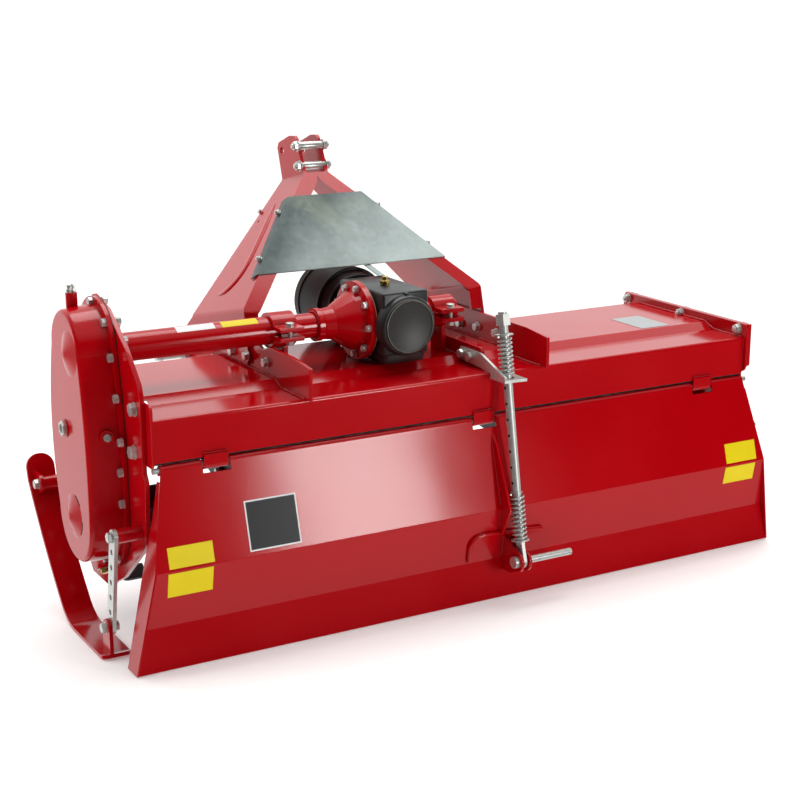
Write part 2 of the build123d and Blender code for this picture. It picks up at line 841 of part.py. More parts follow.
def on_panel(upper, lower, z, gap=0.0):
    """Point of the board's rear face at height z between two of its bends."""
    share = (upper[1] - z) / (upper[1] - lower[1])
    return (upper[0] + share * (lower[0] - upper[0]) - gap, z)


rib_top = on_panel(board_top, board_bend_1, -44.0)
rib_foot = on_panel(board_bend_1, board_bend_2, -262.0, 0.1)
rib_outline = (rib_top, (rib_top[0] - rib_depth * 0.6, rib_top[1] - 22),
               (board_bend_1[0] - rib_depth, board_bend_1[1] + 4), (-62, rib_foot[1]), rib_foot,
               board_bend_1)
flat_plate("tail_rib", rib_x, tail_lug_thick, rib_outline)

lug_root = (on_panel(board_bend_1, board_bend_2, -272.0), on_panel(board_bend_1, board_bend_2, -323.0),
            on_panel(board_bend_2, board_bottom, -328.0), on_panel(board_bend_2, board_bottom, -352.0),
            (-70, -352))
lug_radius = 22.0
with BuildPart() as tail_lugs:
    for x in (rod_x - lug_gap / 2 - tail_lug_thick, rod_x + lug_gap / 2):
        with BuildSketch(side_view(x)):
            with BuildLine():
                Polyline(*lug_root, close=True)
            make_face()
            with BuildLine():
                Polyline(lug_root[0], lug_root[-1], (rod_pin[0], rod_pin[1] - lug_radius),
                         (rod_pin[0] - 4, rod_pin[1] + lug_radius - 0.4), close=True)
            make_face()
            with Locations(rod_pin):
                Circle(lug_radius)
            with Locations(rod_pin):
                Circle(rod_pin_radius + 0.05, mode=Mode.SUBTRACT)
        extrude(amount=tail_lug_thick)
save(tail_lugs, "tail_lugs")

pin_start = rod_x - lug_gap / 2 - tail_lug_thick - 10
turned_pin("clevis_pin", shaft_plane(pin_start, *rod_pin), ((10.0, 13.0), (142.0, rod_pin_radius)))

# --- Spring rod: pinned to the lugs, free to slide through the bracket's slot ---------------
# s runs up the rod from the pin
rod_up = Vector(0, math.sin(rod_lean), math.cos(rod_lean))
rod_foot = at(rod_x, *rod_pin)
rod_length = 548.0
rod_end_above_nut = 5.0
rod_nut_height = 24.0
rod_nut_gap = 22.0
rod_plate_length = 44.0
rod_eye = 15.0
rod_flat = 8.0
washer_thick = 3.0
washer_radius = 20.0
nut_start = rod_length - rod_end_above_nut - rod_nut_height


def across_rod(s):
    """Plane square to the rod, s mm above its pin."""
    return Plane(origin=rod_foot + rod_up * s, x_dir=(1, 0, 0), z_dir=rod_up)


lower_spring_foot = 48.7
lower_spring_top = 152.0
upper_spring_top = nut_start - rod_nut_gap
with BuildPart() as spring_rod:
    with BuildSketch(across_rod(rod_plate_length - 6)):
        Circle(rod_radius)
    extrude(amount=rod_length - rod_plate_length + 6)
    with BuildSketch(Plane(origin=rod_foot - Vector(rod_flat / 2, 0, 0), x_dir=(0, 1, 0),
                           z_dir=(1, 0, 0))) as flat:
        Circle(rod_eye)
        with Locations((math.sin(rod_lean) * rod_plate_length, math.cos(rod_lean) * rod_plate_length)):
            Circle(rod_radius)
        make_hull()
        Circle(rod_pin_radius + 0.05, mode=Mode.SUBTRACT)
    extrude(amount=rod_flat)
    for s, radius in ((lower_spring_foot - washer_thick, washer_radius),
                      (lower_spring_top, rod_radius + 3), (upper_spring_top, washer_radius)):
        with BuildSketch(across_rod(s)):
            Circle(radius)
        extrude(amount=washer_thick)
    with BuildSketch(across_rod(nut_start)):
        RegularPolygon(17, 6)
    extrude(amount=rod_nut_height)
save(spring_rod, "spring_rod")

tab_thick = 6.0
guide_s = math.dist(rod_pin, rod_guide)


def coil(name, start, end, turns):
    """A compression spring on the rod, from s = start to s = end; its wire is eight-sided."""
    rise = end - start - spring_wire
    steps = int(turns * coil_steps)
    foot = across_rod(start + spring_wire / 2)
    points = []
    for step in range(steps + 1):
        angle = 2 * math.pi * step / coil_steps
        points.append(foot.from_local_coords(
            (spring_radius * math.cos(angle), spring_radius * math.sin(angle), rise * step / steps)))
    with BuildPart() as spring:
        with BuildLine():
            path = Polyline(*points)
        with BuildSketch(Plane(origin=path @ 0, z_dir=path % 0)):
            RegularPolygon(spring_wire / 2, coil_sides)
        sweep(path=path, transition=Transition.RIGHT)
    save(spring, name)


upper_spring_foot = guide_s + tab_thick / 2 / math.cos(rod_lean) + 3.2
coil("upper_spring", upper_spring_foot, upper_spring_top - 0.3, 9)
coil("lower_spring", lower_spring_foot + 0.3, lower_spring_top - 0.3, 10)

# --- Galvanised bracket: strap bolted to the spring plate, with a slotted tab ---------------
strap_x = spring_plate_x - tab_thick
slot_length = 38.0
with BuildPart() as spring_bracket:
    with BuildSketch(side_view(strap_x)):
        with BuildLine():
            Polyline((125, 124), (125, 96), (42, 92), (-2, 90), (-2, rod_guide[1] - tab_thick / 2),
                     (-58, rod_guide[1] - tab_thick / 2), (-58, rod_guide[1] + 10), (6, 112),
                     (40, 124), close=True)
        make_face()
        with Locations((113, 110), (78, 110)):
            Circle(5, mode=Mode.SUBTRACT)
    extrude(amount=tab_thick)
    with BuildSketch(Plane(origin=at(0, 0, rod_guide[1] - tab_thick / 2), x_dir=(1, 0, 0),
                           z_dir=(0, 0, 1))):
        with BuildLine():
            Polyline((strap_x, -58), (rod_x + 28, -62), (rod_x + 28, -1), (strap_x, -1), close=True)
        make_face()
        with Locations((rod_x, rod_guide[0])):
            SlotOverall(slot_length, 2 * rod_radius + 2, rotation=90, mode=Mode.SUBTRACT)
    extrude(amount=tab_thick)
save(spring_bracket, "spring_bracket")

# --- Rotor: tube with flanges and L-shaped tines -----------------------------------------
rotor_gap = 12.0
rotor_start = 0.0 + rotor_gap
rotor_end = hood_width - rotor_gap
flange_pitch = (rotor_end - rotor_start - rotor_flange_thick - 20) / (rotor_flange_count - 1)
rotor_stations = [rotor_start + 10 + flange_pitch * i for i in range(rotor_flange_count)]
with BuildPart() as rotor:
    with BuildSketch(shaft_plane(rotor_start, rotor_y, rotor_z)):
        Circle(rotor_tube_radius)
    extrude(amount=rotor_end - rotor_start)
    for station in rotor_stations:
        with BuildSketch(shaft_plane(station, rotor_y, rotor_z)):
            Circle(rotor_flange_radius)
        extrude(amount=rotor_flange_thick)
    # stub shafts through the side plates into the case and the right bearing
    with BuildSketch(shaft_plane(plate_left_x, rotor_y, rotor_z)):
        Circle(shaft_end_radius)
    extrude(amount=rotor_start - plate_left_x)
    with BuildSketch(shaft_plane(rotor_end, rotor_y, rotor_z)):
        Circle(shaft_end_radius)
    extrude(amount=plate_right_x + side_plate - rotor_end)
save(rotor, "rotor_tube")

tine_root = 48.0
tine_bend = 22.0


def tine(station, angle, side):
    """One L-shaped tine bolted to a flange's face; side is the way its foot points."""
    face_x = station if side < 0 else station + rotor_flange_thick
    turn = math.radians(angle)
    out = Vector(0, math.cos(turn), math.sin(turn))
    middle_x = face_x + side * tine_thick / 2
    hub = at(middle_x, rotor_y, rotor_z)
    with BuildPart() as blade:
        with BuildLine():
            path = FilletPolyline(
                hub + out * tine_root,
                hub + out * (rotor_radius - tine_thick / 2),
                hub + out * (rotor_radius - tine_thick / 2) + Vector(side * tine_foot, 0, 0),
                radius=tine_bend,
            )
        with BuildSketch(Plane(origin=path @ 0, x_dir=(1, 0, 0), z_dir=out)):
            Rectangle(tine_thick, tine_width)
        sweep(path=path)
    return blade.part


with BuildPart() as tines:
    for index, station in enumerate(rotor_stations):
        for side in (-1, 1):
            first = index == 0 and side < 0
            last = index == rotor_flange_count - 1 and side > 0
            if first or last:
                continue
            for blade in range(tines_per_side):
                angle = 360 / tines_per_side * blade + 60 * (side > 0) + 17 * index
                add(tine(station, angle, side))
save(tines, "tines")
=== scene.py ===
# Rotary tiller for a tractor's three-point hitch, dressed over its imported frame.
# One section for each piece, in the order in which the machine is put together.
import math

import bmesh
import bpy
import json
from mathutils import Matrix, Vector

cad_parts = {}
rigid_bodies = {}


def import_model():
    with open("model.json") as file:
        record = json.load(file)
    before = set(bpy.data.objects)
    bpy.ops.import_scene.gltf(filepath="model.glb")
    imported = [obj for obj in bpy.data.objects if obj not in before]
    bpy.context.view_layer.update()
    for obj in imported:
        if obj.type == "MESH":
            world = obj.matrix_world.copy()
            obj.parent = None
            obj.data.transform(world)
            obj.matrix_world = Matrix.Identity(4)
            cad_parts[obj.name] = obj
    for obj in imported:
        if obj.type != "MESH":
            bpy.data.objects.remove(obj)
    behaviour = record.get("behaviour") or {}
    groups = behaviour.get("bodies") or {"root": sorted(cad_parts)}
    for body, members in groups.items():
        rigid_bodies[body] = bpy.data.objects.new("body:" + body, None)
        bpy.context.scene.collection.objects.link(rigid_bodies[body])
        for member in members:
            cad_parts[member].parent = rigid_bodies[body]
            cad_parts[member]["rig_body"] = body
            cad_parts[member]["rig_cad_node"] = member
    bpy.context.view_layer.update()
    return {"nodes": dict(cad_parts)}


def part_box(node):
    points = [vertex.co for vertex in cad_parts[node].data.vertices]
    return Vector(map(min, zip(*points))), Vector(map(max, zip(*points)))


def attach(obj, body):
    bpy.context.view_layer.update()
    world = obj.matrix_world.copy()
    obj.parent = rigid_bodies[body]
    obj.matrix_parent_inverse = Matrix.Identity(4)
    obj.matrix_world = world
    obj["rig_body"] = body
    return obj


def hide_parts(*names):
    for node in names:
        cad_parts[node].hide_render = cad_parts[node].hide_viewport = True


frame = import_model()

# ---- Viewpoint, floor and studio light --------------------------------------------------
# The machine stands on a pale seamless floor in a white studio. Stations are millimetres
# from the corner where the hood's rear wall meets its left end: right, forward, up.
hood_low, hood_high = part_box("hood")
hood_deck_height = 102.0
corner = Vector((hood_low.x, hood_low.y, hood_high.z - hood_deck_height / 1000))


def spot(x, y, z):
    """A station in millimetres as a point of the model in metres."""
    return corner + Vector((x, y, z)) / 1000


def linear(code):
    """A colour given as sRGB hex, as the linear values that a shader works in."""
    parts = [int(code[i:i + 2], 16) / 255 for i in (1, 3, 5)]
    return (*[c / 12.92 if c <= 0.04045 else ((c + 0.055) / 1.055) ** 2.4 for c in parts], 1.0)


def add_node(tree, kind, settings=None, values=None, links=None):
    """One node in a material's or the world's tree: its settings, socket values and links in."""
    node = tree.nodes.new(kind)
    for name, value in (settings or {}).items():
        setattr(node, name, value)
    for socket, value in (values or {}).items():
        node.inputs[socket].default_value = value
    for socket, (source, output) in (links or {}).items():
        tree.links.new(source.outputs[output], node.inputs[socket])
    return node


scene = bpy.context.scene
scene.view_settings.view_transform = "Standard"

bpy.ops.object.select_all(action="DESELECT")
bpy.ops.object.camera_add(location=spot(-1089.6, -2859.0, 930.1),
                          rotation=(math.radians(90 - 14.81), 0, math.radians(-29.92)))
camera = bpy.context.active_object
camera.name = "studio_camera"
camera.data.lens = 72.9
camera.data.sensor_width = 36.0
camera.data.clip_end = 200.0
scene.camera = camera

floor_size = 160.0
bpy.ops.mesh.primitive_grid_add(x_subdivisions=4, y_subdivisions=4, size=floor_size)
floor = bpy.context.active_object
floor.name = "studio_floor"
floor_paint = bpy.data.materials.new("white_vinyl_backdrop")
floor_paint.use_nodes = True
floor_tree = floor_paint.node_tree
floor_shader = floor_tree.nodes["Principled BSDF"]
floor_shader.inputs["Base Color"].default_value = linear("#f7f6f5")
floor_shader.inputs["Roughness"].default_value = 0.6
floor_shader.inputs["Specular IOR Level"].default_value = 0.2
floor_shader.inputs["Emission Color"].default_value = linear("#ffffff")
floor_shader.inputs["Emission Strength"].default_value = 0.2
floor.data.materials.append(floor_paint)
floor.visible_glossy = False

# The booth's far wall is white, its ceiling and floor are grey, and the camera's side is dark.
world = bpy.data.worlds.new("studio_booth")
scene.world = world
world.use_nodes = True
sky = world.node_tree
for node in list(sky.nodes):
    sky.nodes.remove(node)
look = add_node(sky, "ShaderNodeTexCoord")
turn = add_node(sky, "ShaderNodeMapping", settings={"vector_type": "POINT"},
                values={"Rotation": (0, 0, math.radians(29.92))}, links={"Vector": (look, "Generated")})
axes = add_node(sky, "ShaderNodeSeparateXYZ", links={"Vector": (turn, "Vector")})
far_wall = add_node(sky, "ShaderNodeMapRange", settings={"interpolation_type": "SMOOTHSTEP"},
                    values={"From Min": -0.1, "From Max": 0.4, "To Min": 0.01, "To Max": 1.1},
                    links={"Value": (axes, "Y")})
ceiling = add_node(sky, "ShaderNodeMapRange", settings={"interpolation_type": "SMOOTHSTEP"},
                   values={"From Min": 0.4, "From Max": 0.85, "To Min": 0.0, "To Max": 0.55},
                   links={"Value": (axes, "Z")})
ground = add_node(sky, "ShaderNodeMapRange", settings={"interpolation_type": "SMOOTHSTEP"},
                  values={"From Min": -0.38, "From Max": -0.55, "To Min": 0.0, "To Max": 0.6},
                  links={"Value": (axes, "Z")})
sides = add_node(sky, "ShaderNodeMath", settings={"operation": "MAXIMUM"},
                 links={0: (far_wall, "Result"), 1: (ceiling, "Result")})
booth = add_node(sky, "ShaderNodeMath", settings={"operation": "MAXIMUM"},
                 links={0: (sides, "Value"), 1: (ground, "Result")})
air = add_node(sky, "ShaderNodeBackground", values={"Color": (1.0, 1.0, 1.0, 1.0)},
               links={"Strength": (booth, "Value")})
add_node(sky, "ShaderNodeOutputWorld", links={"Surface": (air, "Background")})

bpy.ops.object.light_add(type="SUN", location=(0, 0, 4), rotation=(math.radians(-12), 0, 0))
ceiling_light = bpy.context.active_object
ceiling_light.name = "ceiling_light"
ceiling_light.data.energy = 0.9
ceiling_light.data.angle = math.radians(110)
ceiling_light.visible_glossy = False

# name, place in metres, point it faces, width, height, watts
lamps = (
    ("overhead_softbox", (0.4, 0.6, 3.6), (0.1, 0.0, 0.4), 3.0, 1.8, 60.0),
    ("window_softbox", (1.16, -3.15, 0.72), (0.0, -0.2, 0.45), 0.62, 1.2, 30.0),
    ("left_softbox", (-3.9, 0.9, 1.6), (-0.4, 0.0, 0.4), 1.4, 2.0, 34.0),
)
for name, place, aim, width, height, watts in lamps:
    bpy.ops.object.light_add(type="AREA", location=place)
    lamp = bpy.context.active_object
    lamp.name = name
    lamp.data.shape = "RECTANGLE"
    lamp.data.size, lamp.data.size_y = width, height
    lamp.data.energy = watts
    lamp.visible_camera = False
    lamp.visible_glossy = name != "left_softbox"
    lamp.rotation_euler = (Vector(aim) - Vector(place)).to_track_quat("-Z", "Y").to_euler()

# ---- Hood: one steel sheet folded over the rotor ----------------------------------------
# 4 mm sheet pressed to five folds, welded to its end plates, then powder coated red.
# The coat is glossy and slightly wavy, so it mirrors the white room with soft edges.


def mottled(name, dark, light, scale, detail=2.0, rough=None, fixed=None):
    """A real surface whose colour, and gloss if it has a range, drift between two values in
    patches, scale of them to a metre. With no lighter colour it fades by a tenth."""
    material = bpy.data.materials.new(name)
    material.use_nodes = True
    tree = material.node_tree
    shader = tree.nodes["Principled BSDF"]
    for socket, value in (fixed or {}).items():
        shader.inputs[socket].default_value = value
    place = add_node(tree, "ShaderNodeTexCoord")
    patches = add_node(tree, "ShaderNodeTexNoise", values={"Scale": scale, "Detail": detail},
                       links={"Vector": (place, "Object")})
    faded = (*[part * 0.9 for part in linear(dark)[:3]], 1.0)
    tone = add_node(tree, "ShaderNodeMix", settings={"data_type": "RGBA"},
                    values={6: linear(dark),
                            7: linear(light) if light else faded}, links={0: (patches, "Fac")})
    tree.links.new(tone.outputs[2], shader.inputs["Base Color"])
    if rough:
        gloss = add_node(tree, "ShaderNodeMapRange", values={"To Min": rough[0], "To Max": rough[1]},
                         links={"Value": (patches, "Fac")})
        tree.links.new(gloss.outputs["Result"], shader.inputs["Roughness"])
    return material


def bumped(material, scale, detail, strength, distance, under=None):
    """Adds a bump of its own noise, scale humps to a metre, over the bump under it. The last one
    laid is the one that shows."""
    tree = material.node_tree
    grain = tree.nodes["Noise Texture"]
    if scale:
        grain = add_node(tree, "ShaderNodeTexNoise", values={"Scale": scale, "Detail": detail},
                         links={"Vector": (tree.nodes["Texture Coordinate"], "Object")})
    links = {"Height": (grain, "Fac")}
    if under:
        links["Normal"] = (under, "Normal")
    bump = add_node(tree, "ShaderNodeBump", values={"Strength": strength, "Distance": distance},
                    links=links)
    tree.links.new(bump.outputs["Normal"], tree.nodes["Principled BSDF"].inputs["Normal"])
    return bump


# thicker and thinner film in patches about 250 mm across
patch_size = 0.25
powder_red = mottled("gloss_red_powder_coat", "#a60009", "#b4010c", 1 / patch_size, rough=(0.1, 0.18),
                     fixed={"IOR": 1.48})
# orange peel is 2 to 3 mm from hump to hump, drawn at 7 mm so that it shows
peel_size, wave_size = 0.007, 0.11
sheet_wave = bumped(powder_red, 1 / wave_size, 0.0, 0.35, 0.0012)
bumped(powder_red, 1 / peel_size, 1.0, 0.26, 0.0002, under=sheet_wave)


def pick(piece):
    """Selects one object alone and makes it active."""
    bpy.ops.object.select_all(action="DESELECT")
    piece.select_set(True)
    bpy.context.view_layer.objects.active = piece


def finish_piece(piece, name, body, material, smooth=30.0):
    """Names a modelled piece, puts its place into its mesh, smooths it and hangs it on its body."""
    pick(piece)
    bpy.ops.object.transform_apply(location=True, rotation=True, scale=True)
    if smooth:
        bpy.ops.object.shade_smooth_by_angle(angle=math.radians(smooth))
    piece.name = name
    piece.data.name = name
    piece.data.materials.clear()
    piece.data.materials.append(material)
    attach(piece, body)
    return piece


def flat_shine(piece):
    """Keeps broad faces' shine flat, so that only the rounded edges turn it."""
    pick(piece)
    shine = piece.modifiers.new("flat_shine", "WEIGHTED_NORMAL")
    shine.keep_sharp = True
    shine.weight = 100
    bpy.ops.object.modifier_apply(modifier=shine.name)


def rounded_edges(piece, edge, segments=2, angle=32.0):
    """Rounds the edges where faces meet sharply, edge mm wide."""
    pick(piece)
    bevel = piece.modifiers.new("rounded_edges", "BEVEL")
    bevel.width = edge / 1000
    bevel.segments = segments
    bevel.limit_method = "ANGLE"
    bevel.angle_limit = math.radians(angle)
    bpy.ops.object.modifier_apply(modifier=bevel.name)


def finished_plate(node, edge, body="frame", material=None):
    """A cut and folded piece with the saw's or press's sharp edges taken off under its finish."""
    pick(frame["nodes"][node])
    bpy.ops.object.duplicate()
    piece = bpy.context.active_object
    bpy.ops.object.parent_clear(type="CLEAR_KEEP_TRANSFORM")
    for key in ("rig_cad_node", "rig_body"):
        if key in piece:
            del piece[key]
    bpy.ops.object.mode_set(mode="EDIT")
    bpy.ops.mesh.select_all(action="SELECT")
    bpy.ops.mesh.remove_doubles(threshold=0.00002)
    bpy.ops.mesh.dissolve_limited(angle_limit=math.radians(0.4))
    bpy.ops.mesh.customdata_custom_splitnormals_clear()
    bpy.ops.object.mode_set(mode="OBJECT")
    rounded_edges(piece, edge)
    finish_piece(piece, node + "_finished", body, material or powder_red)
    flat_shine(piece)
    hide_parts(node)
    return piece


finished_plate("hood", 0.8)


def weld_bead(name, start, end, width=7.0, body="frame", pitch=3.6):
    """A hand-laid weld: overlapping scallops in a row, coated with the plates it joins."""
    run = end - start
    bpy.ops.object.select_all(action="DESELECT")
    bpy.ops.mesh.primitive_ico_sphere_add(subdivisions=2, radius=width / 2000)
    bead = bpy.context.active_object
    bpy.ops.transform.resize(value=(0.8, 1.0, 0.75))
    bpy.ops.object.transform_apply(location=False, rotation=False, scale=True)
    row = bead.modifiers.new("row", "ARRAY")
    row.count = max(2, int(run.length * 1000 / pitch))
    row.use_relative_offset = False
    row.use_constant_offset = True
    row.constant_offset_displace = (run.length / row.count, 0, 0)
    bpy.ops.object.modifier_apply(modifier=row.name)
    # the welder's hand wavers a little from scallop to scallop
    wander = bpy.data.textures.get("welder_hand") or bpy.data.textures.new("welder_hand", "CLOUDS")
    wander.noise_scale = 0.012
    waver = bead.modifiers.new("waver", "DISPLACE")
    waver.texture = wander
    waver.strength = width / 5000
    waver.direction = "RGB_TO_XYZ"
    bpy.ops.object.modifier_apply(modifier=waver.name)
    bead.rotation_euler = run.to_track_quat("X", "Z").to_euler()
    bead.location = start
    return finish_piece(bead, name, body, powder_red, smooth=180.0)


# ---- End plates and their bolts ---------------------------------------------------------
# 5 mm plates welded across the hood's ends, each bolted through to a side plate.
# The bolts are zinc plated M16 with flat washers outside, and lock nuts inside.
hood_width = 1500.0
end_plate = 5.0
finished_plate("hood_end_left", 1.0)
finished_plate("hood_end_right", 1.0)

# passivated zinc clouds over in patches of about 10 mm, and its chalky film hides a little of
# the metal's shine
cloud_size = 0.01
zinc = mottled("bright_zinc_plate", "#b4b6b0", "#e4e6e3", 1 / cloud_size, 3.0, rough=(0.22, 0.42),
               fixed={"Metallic": 0.74})
bumped(zinc, None, None, 0.12, 0.0002)


def set_at(piece, point, direction):
    """Stands a piece made along +Z at a point, looking along a direction."""
    piece.matrix_world = Matrix.Translation(point) @ Vector(direction).to_track_quat("Z", "Y").to_matrix().to_4x4()


def join(pieces):
    """Joins pieces into the first of them."""
    bpy.ops.object.select_all(action="DESELECT")
    for piece in pieces:
        piece.select_set(True)
    bpy.context.view_layer.objects.active = pieces[0]
    if len(pieces) > 1:
        bpy.ops.object.join()
    return pieces[0]


def edit_faces(piece, test):
    """Enters edit mode with the faces selected whose normal passes a test."""
    bpy.ops.object.mode_set(mode="EDIT")
    bpy.ops.mesh.select_all(action="DESELECT")
    shape = bmesh.from_edit_mesh(piece.data)
    for face in shape.faces:
        face.select = test(face.normal)
    bmesh.update_edit_mesh(piece.data)


def hex_head(across, height, washer, stub=0.0):
    """A chamfered hexagon on its flat washer, standing on the origin along +Z. With a stub it is
    a nut, and the bolt's end stands stub mm out of it."""
    bpy.ops.object.select_all(action="DESELECT")
    bpy.ops.mesh.primitive_cylinder_add(vertices=6, radius=across / 1732, depth=height / 1000,
                                        location=(0, 0, (height / 2 + 1.6) / 1000))
    head = bpy.context.active_object
    bpy.ops.object.transform_apply(location=True, rotation=False, scale=False)
    edit_faces(head, lambda normal: normal.z > 0.9)
    bpy.ops.mesh.inset(thickness=across / 12000, depth=0)
    bpy.ops.transform.translate(value=(0, 0, height / 9000))
    bpy.ops.object.mode_set(mode="OBJECT")
    rounded_edges(head, across * 0.02, segments=1, angle=40.0)
    bpy.ops.mesh.primitive_cylinder_add(vertices=20, radius=washer / 2000, depth=0.0016,
                                        location=(0, 0, 0.0008))
    ring = bpy.context.active_object
    rounded_edges(ring, 0.3, segments=1)
    bpy.ops.object.select_all(action="DESELECT")
    if stub:
        bpy.ops.mesh.primitive_cylinder_add(vertices=20, radius=across * 0.3 / 1000,
                                            depth=(stub + 2) / 1000,
                                            location=(0, 0, (height * 10 / 9 + 1.6 + (stub - 2) / 2) / 1000))
        bolt_end = bpy.context.active_object
        rounded_edges(bolt_end, 0.8, segments=2, angle=40.0)
        bolt_end.select_set(True)
    ring.select_set(True)
    head.select_set(True)
    bpy.context.view_layer.objects.active = head
    bpy.ops.object.join()
    return head


def fasteners(name, pattern, places, body="frame", material=None, smooth=25.0):
    """Copies of one fastener, each with its own mesh, set at (point, direction) and kept as one piece."""
    copies = []
    for index, (point, direction) in enumerate(places):
        pick(pattern)
        bpy.ops.object.duplicate()
        one = bpy.context.active_object
        # each is tightened to its own angle
        set_at(one, point, direction)
        one.matrix_world = one.matrix_world @ Matrix.Rotation(0.7 * index, 4, "Z")
        copies.append(one)
    return finish_piece(join(copies), name, body, material or zinc, smooth)


def scrap(pattern):
    """Removes a pattern once its copies are made."""
    bpy.data.objects.remove(pattern)


LEFT, RIGHT = (-1, 0, 0), (1, 0, 0)
REAR, FRONT = (0, -1, 0), (0, 1, 0)
UP, DOWN = (0, 0, 1), (0, 0, -1)
side_plate = 10.0
plate_left_x = -end_plate - side_plate
plate_right_x = hood_width + end_plate + side_plate
m16_head = hex_head(24.0, 9.0, 30.0)
m12_lock_nut = hex_head(19.0, 9.0, 26.0, stub=4.0)
end_bolt_rows, end_bolt_z = (20, 232, 446), 106
fasteners("end_plate_bolts_right", m16_head,
          [(spot(plate_right_x, y, end_bolt_z), RIGHT) for y in end_bolt_rows])
fasteners("end_plate_nuts_right", m12_lock_nut,
          [(spot(hood_width, y, end_bolt_z), LEFT) for y in end_bolt_rows])

# ---- Side plates ------------------------------------------------------------------------
# 10 mm profile-cut plates that carry the rotor, bolted outside the hood's end plates.
# Their cut edges keep a small round under the powder coat.
finished_plate("side_plate_left", 1.2)
finished_plate("side_plate_right", 1.2)
side_bolt_spots = ((49, 103), (59, 13), (440, 60))
fasteners("side_plate_bolts_left", m16_head,
          [(spot(plate_left_x, y, z), LEFT) for y, z in side_bolt_spots]
          + [(spot(0, y, z), RIGHT) for y, z in side_bolt_spots if z < 98 or y < 60])

# ---- Drive case: pressed cover over the gears, its gasket and its bolts -------------------
# A deep-drawn steel oval, flanged and bolted to the side plate over a fibre gasket.
# Red bosses welded to it take the filler, level, sight and drain plugs.
rotor_y, rotor_z = 218.0, -153.0
shaft_y, shaft_z = 200.0, 193.0
flange_face_x = plate_left_x - 2.0 - 8.0
case_face_x = flange_face_x - 67.0


def repaint(node, material):
    """Gives a CAD piece its real material."""
    frame["nodes"][node].data.materials.clear()
    frame["nodes"][node].data.materials.append(material)


repaint("case_cover", powder_red)

# cork crumbs in the sheet, about 2 mm
crumb_size = 0.002
fibre = mottled("black_nitrile_gasket", "#0c0807", "#1d1411", 1 / crumb_size, fixed={"Roughness": 0.7})
repaint("case_gasket", fibre)

m10_head = hex_head(16.0, 7.0, 19.0)
case_bolts = ((238, 286), (165, 256), (135, 190), (114, 111), (98, 25), (106, -40), (105, -106),
              (112, -175), (150, -237), (218, -262), (288, -237), (326, -175), (333, -106),
              (350, -40), (354, 25), (345, 111), (330, 190), (300, 256))
fasteners("case_cover_bolts", m10_head, [(spot(flange_face_x, y, z), LEFT) for y, z in case_bolts])
m10_nut = hex_head(16.0, 9.0, 15.0)
fasteners("case_cover_nuts", m10_nut,
          [(spot(-end_plate, y, z), RIGHT) for y, z in case_bolts if z > 125])

# painted shade: dark crescents at the foot of the pressed lower cone, where shade falls in its crease, a tenth of
# its rim long each
cone_radius = 47.0


def painted_shade_crescent(name, middle_angle, sweep_angle):
    """A dark crescent of painted shade on the case's face at the cone's foot."""
    centre = spot(case_face_x - 0.25, rotor_y, rotor_z)
    bpy.ops.object.select_all(action="DESELECT")
    bpy.ops.mesh.primitive_cube_add(size=1.0, location=centre + Vector((0, 0, cone_radius / 1000)))
    shade_crescent = bpy.context.active_object
    bpy.ops.transform.resize(value=(0.0005, 0.001, 0.003))
    bpy.ops.object.transform_apply(location=True, rotation=False, scale=True)
    edit_faces(shade_crescent, lambda normal: normal.y > 0.9)
    bpy.ops.mesh.spin(steps=14, angle=math.radians(sweep_angle), center=centre, axis=(1, 0, 0))
    bpy.ops.mesh.select_all(action="SELECT")
    bpy.ops.mesh.remove_doubles(threshold=0.00001)
    bpy.ops.mesh.normals_make_consistent(inside=False)
    bpy.ops.object.mode_set(mode="OBJECT")
    shade_crescent.rotation_euler = (0, 0, 0)
    shade_crescent.data.transform(Matrix.Translation(centre) @ Matrix.Rotation(math.radians(middle_angle), 4, "X")
                        @ Matrix.Translation(-centre))
    return finish_piece(shade_crescent, name, "frame", fibre)


painted_shade_crescent("painted_shade_crescent_upper", 50.0, 38.0)
painted_shade_crescent("painted_shade_crescent_lower", 130.0, 38.0)


def welded_boss(name, centre, direction, radius, length, inset=4.0):
    """A turned boss standing on the case, with its rim chamfered and its mouth let in."""
    facing = Vector(direction).normalized()
    bpy.ops.object.select_all(action="DESELECT")
    bpy.ops.mesh.primitive_cylinder_add(vertices=28, radius=radius / 1000, depth=length / 1000,
                                        location=(0, 0, length / 2000))
    boss = bpy.context.active_object
    bpy.ops.object.transform_apply(location=True, rotation=False, scale=False)
    edit_faces(boss, lambda normal: normal.z > 0.9)
    bpy.ops.mesh.inset(thickness=inset / 1000, depth=0)
    bpy.ops.transform.translate(value=(0, 0, -0.001))
    bpy.ops.object.mode_set(mode="OBJECT")
    rounded_edges(boss, radius * 0.08, segments=2, angle=40.0)
    set_at(boss, centre, facing)
    return finish_piece(boss, name, "frame", powder_red)


# sight plug: a hexagon ring with a dark glass disc, screwed into a low boss
sight_y, sight_z = 245.0, 28.0
welded_boss("sight_plug_boss", spot(case_face_x + 1, sight_y, sight_z), LEFT, 19.0, 4.0)
glass = mottled("smoked_sight_glass", "#15170f", "#34372a", 90.0, fixed={"Roughness": 0.08, "IOR": 1.5})

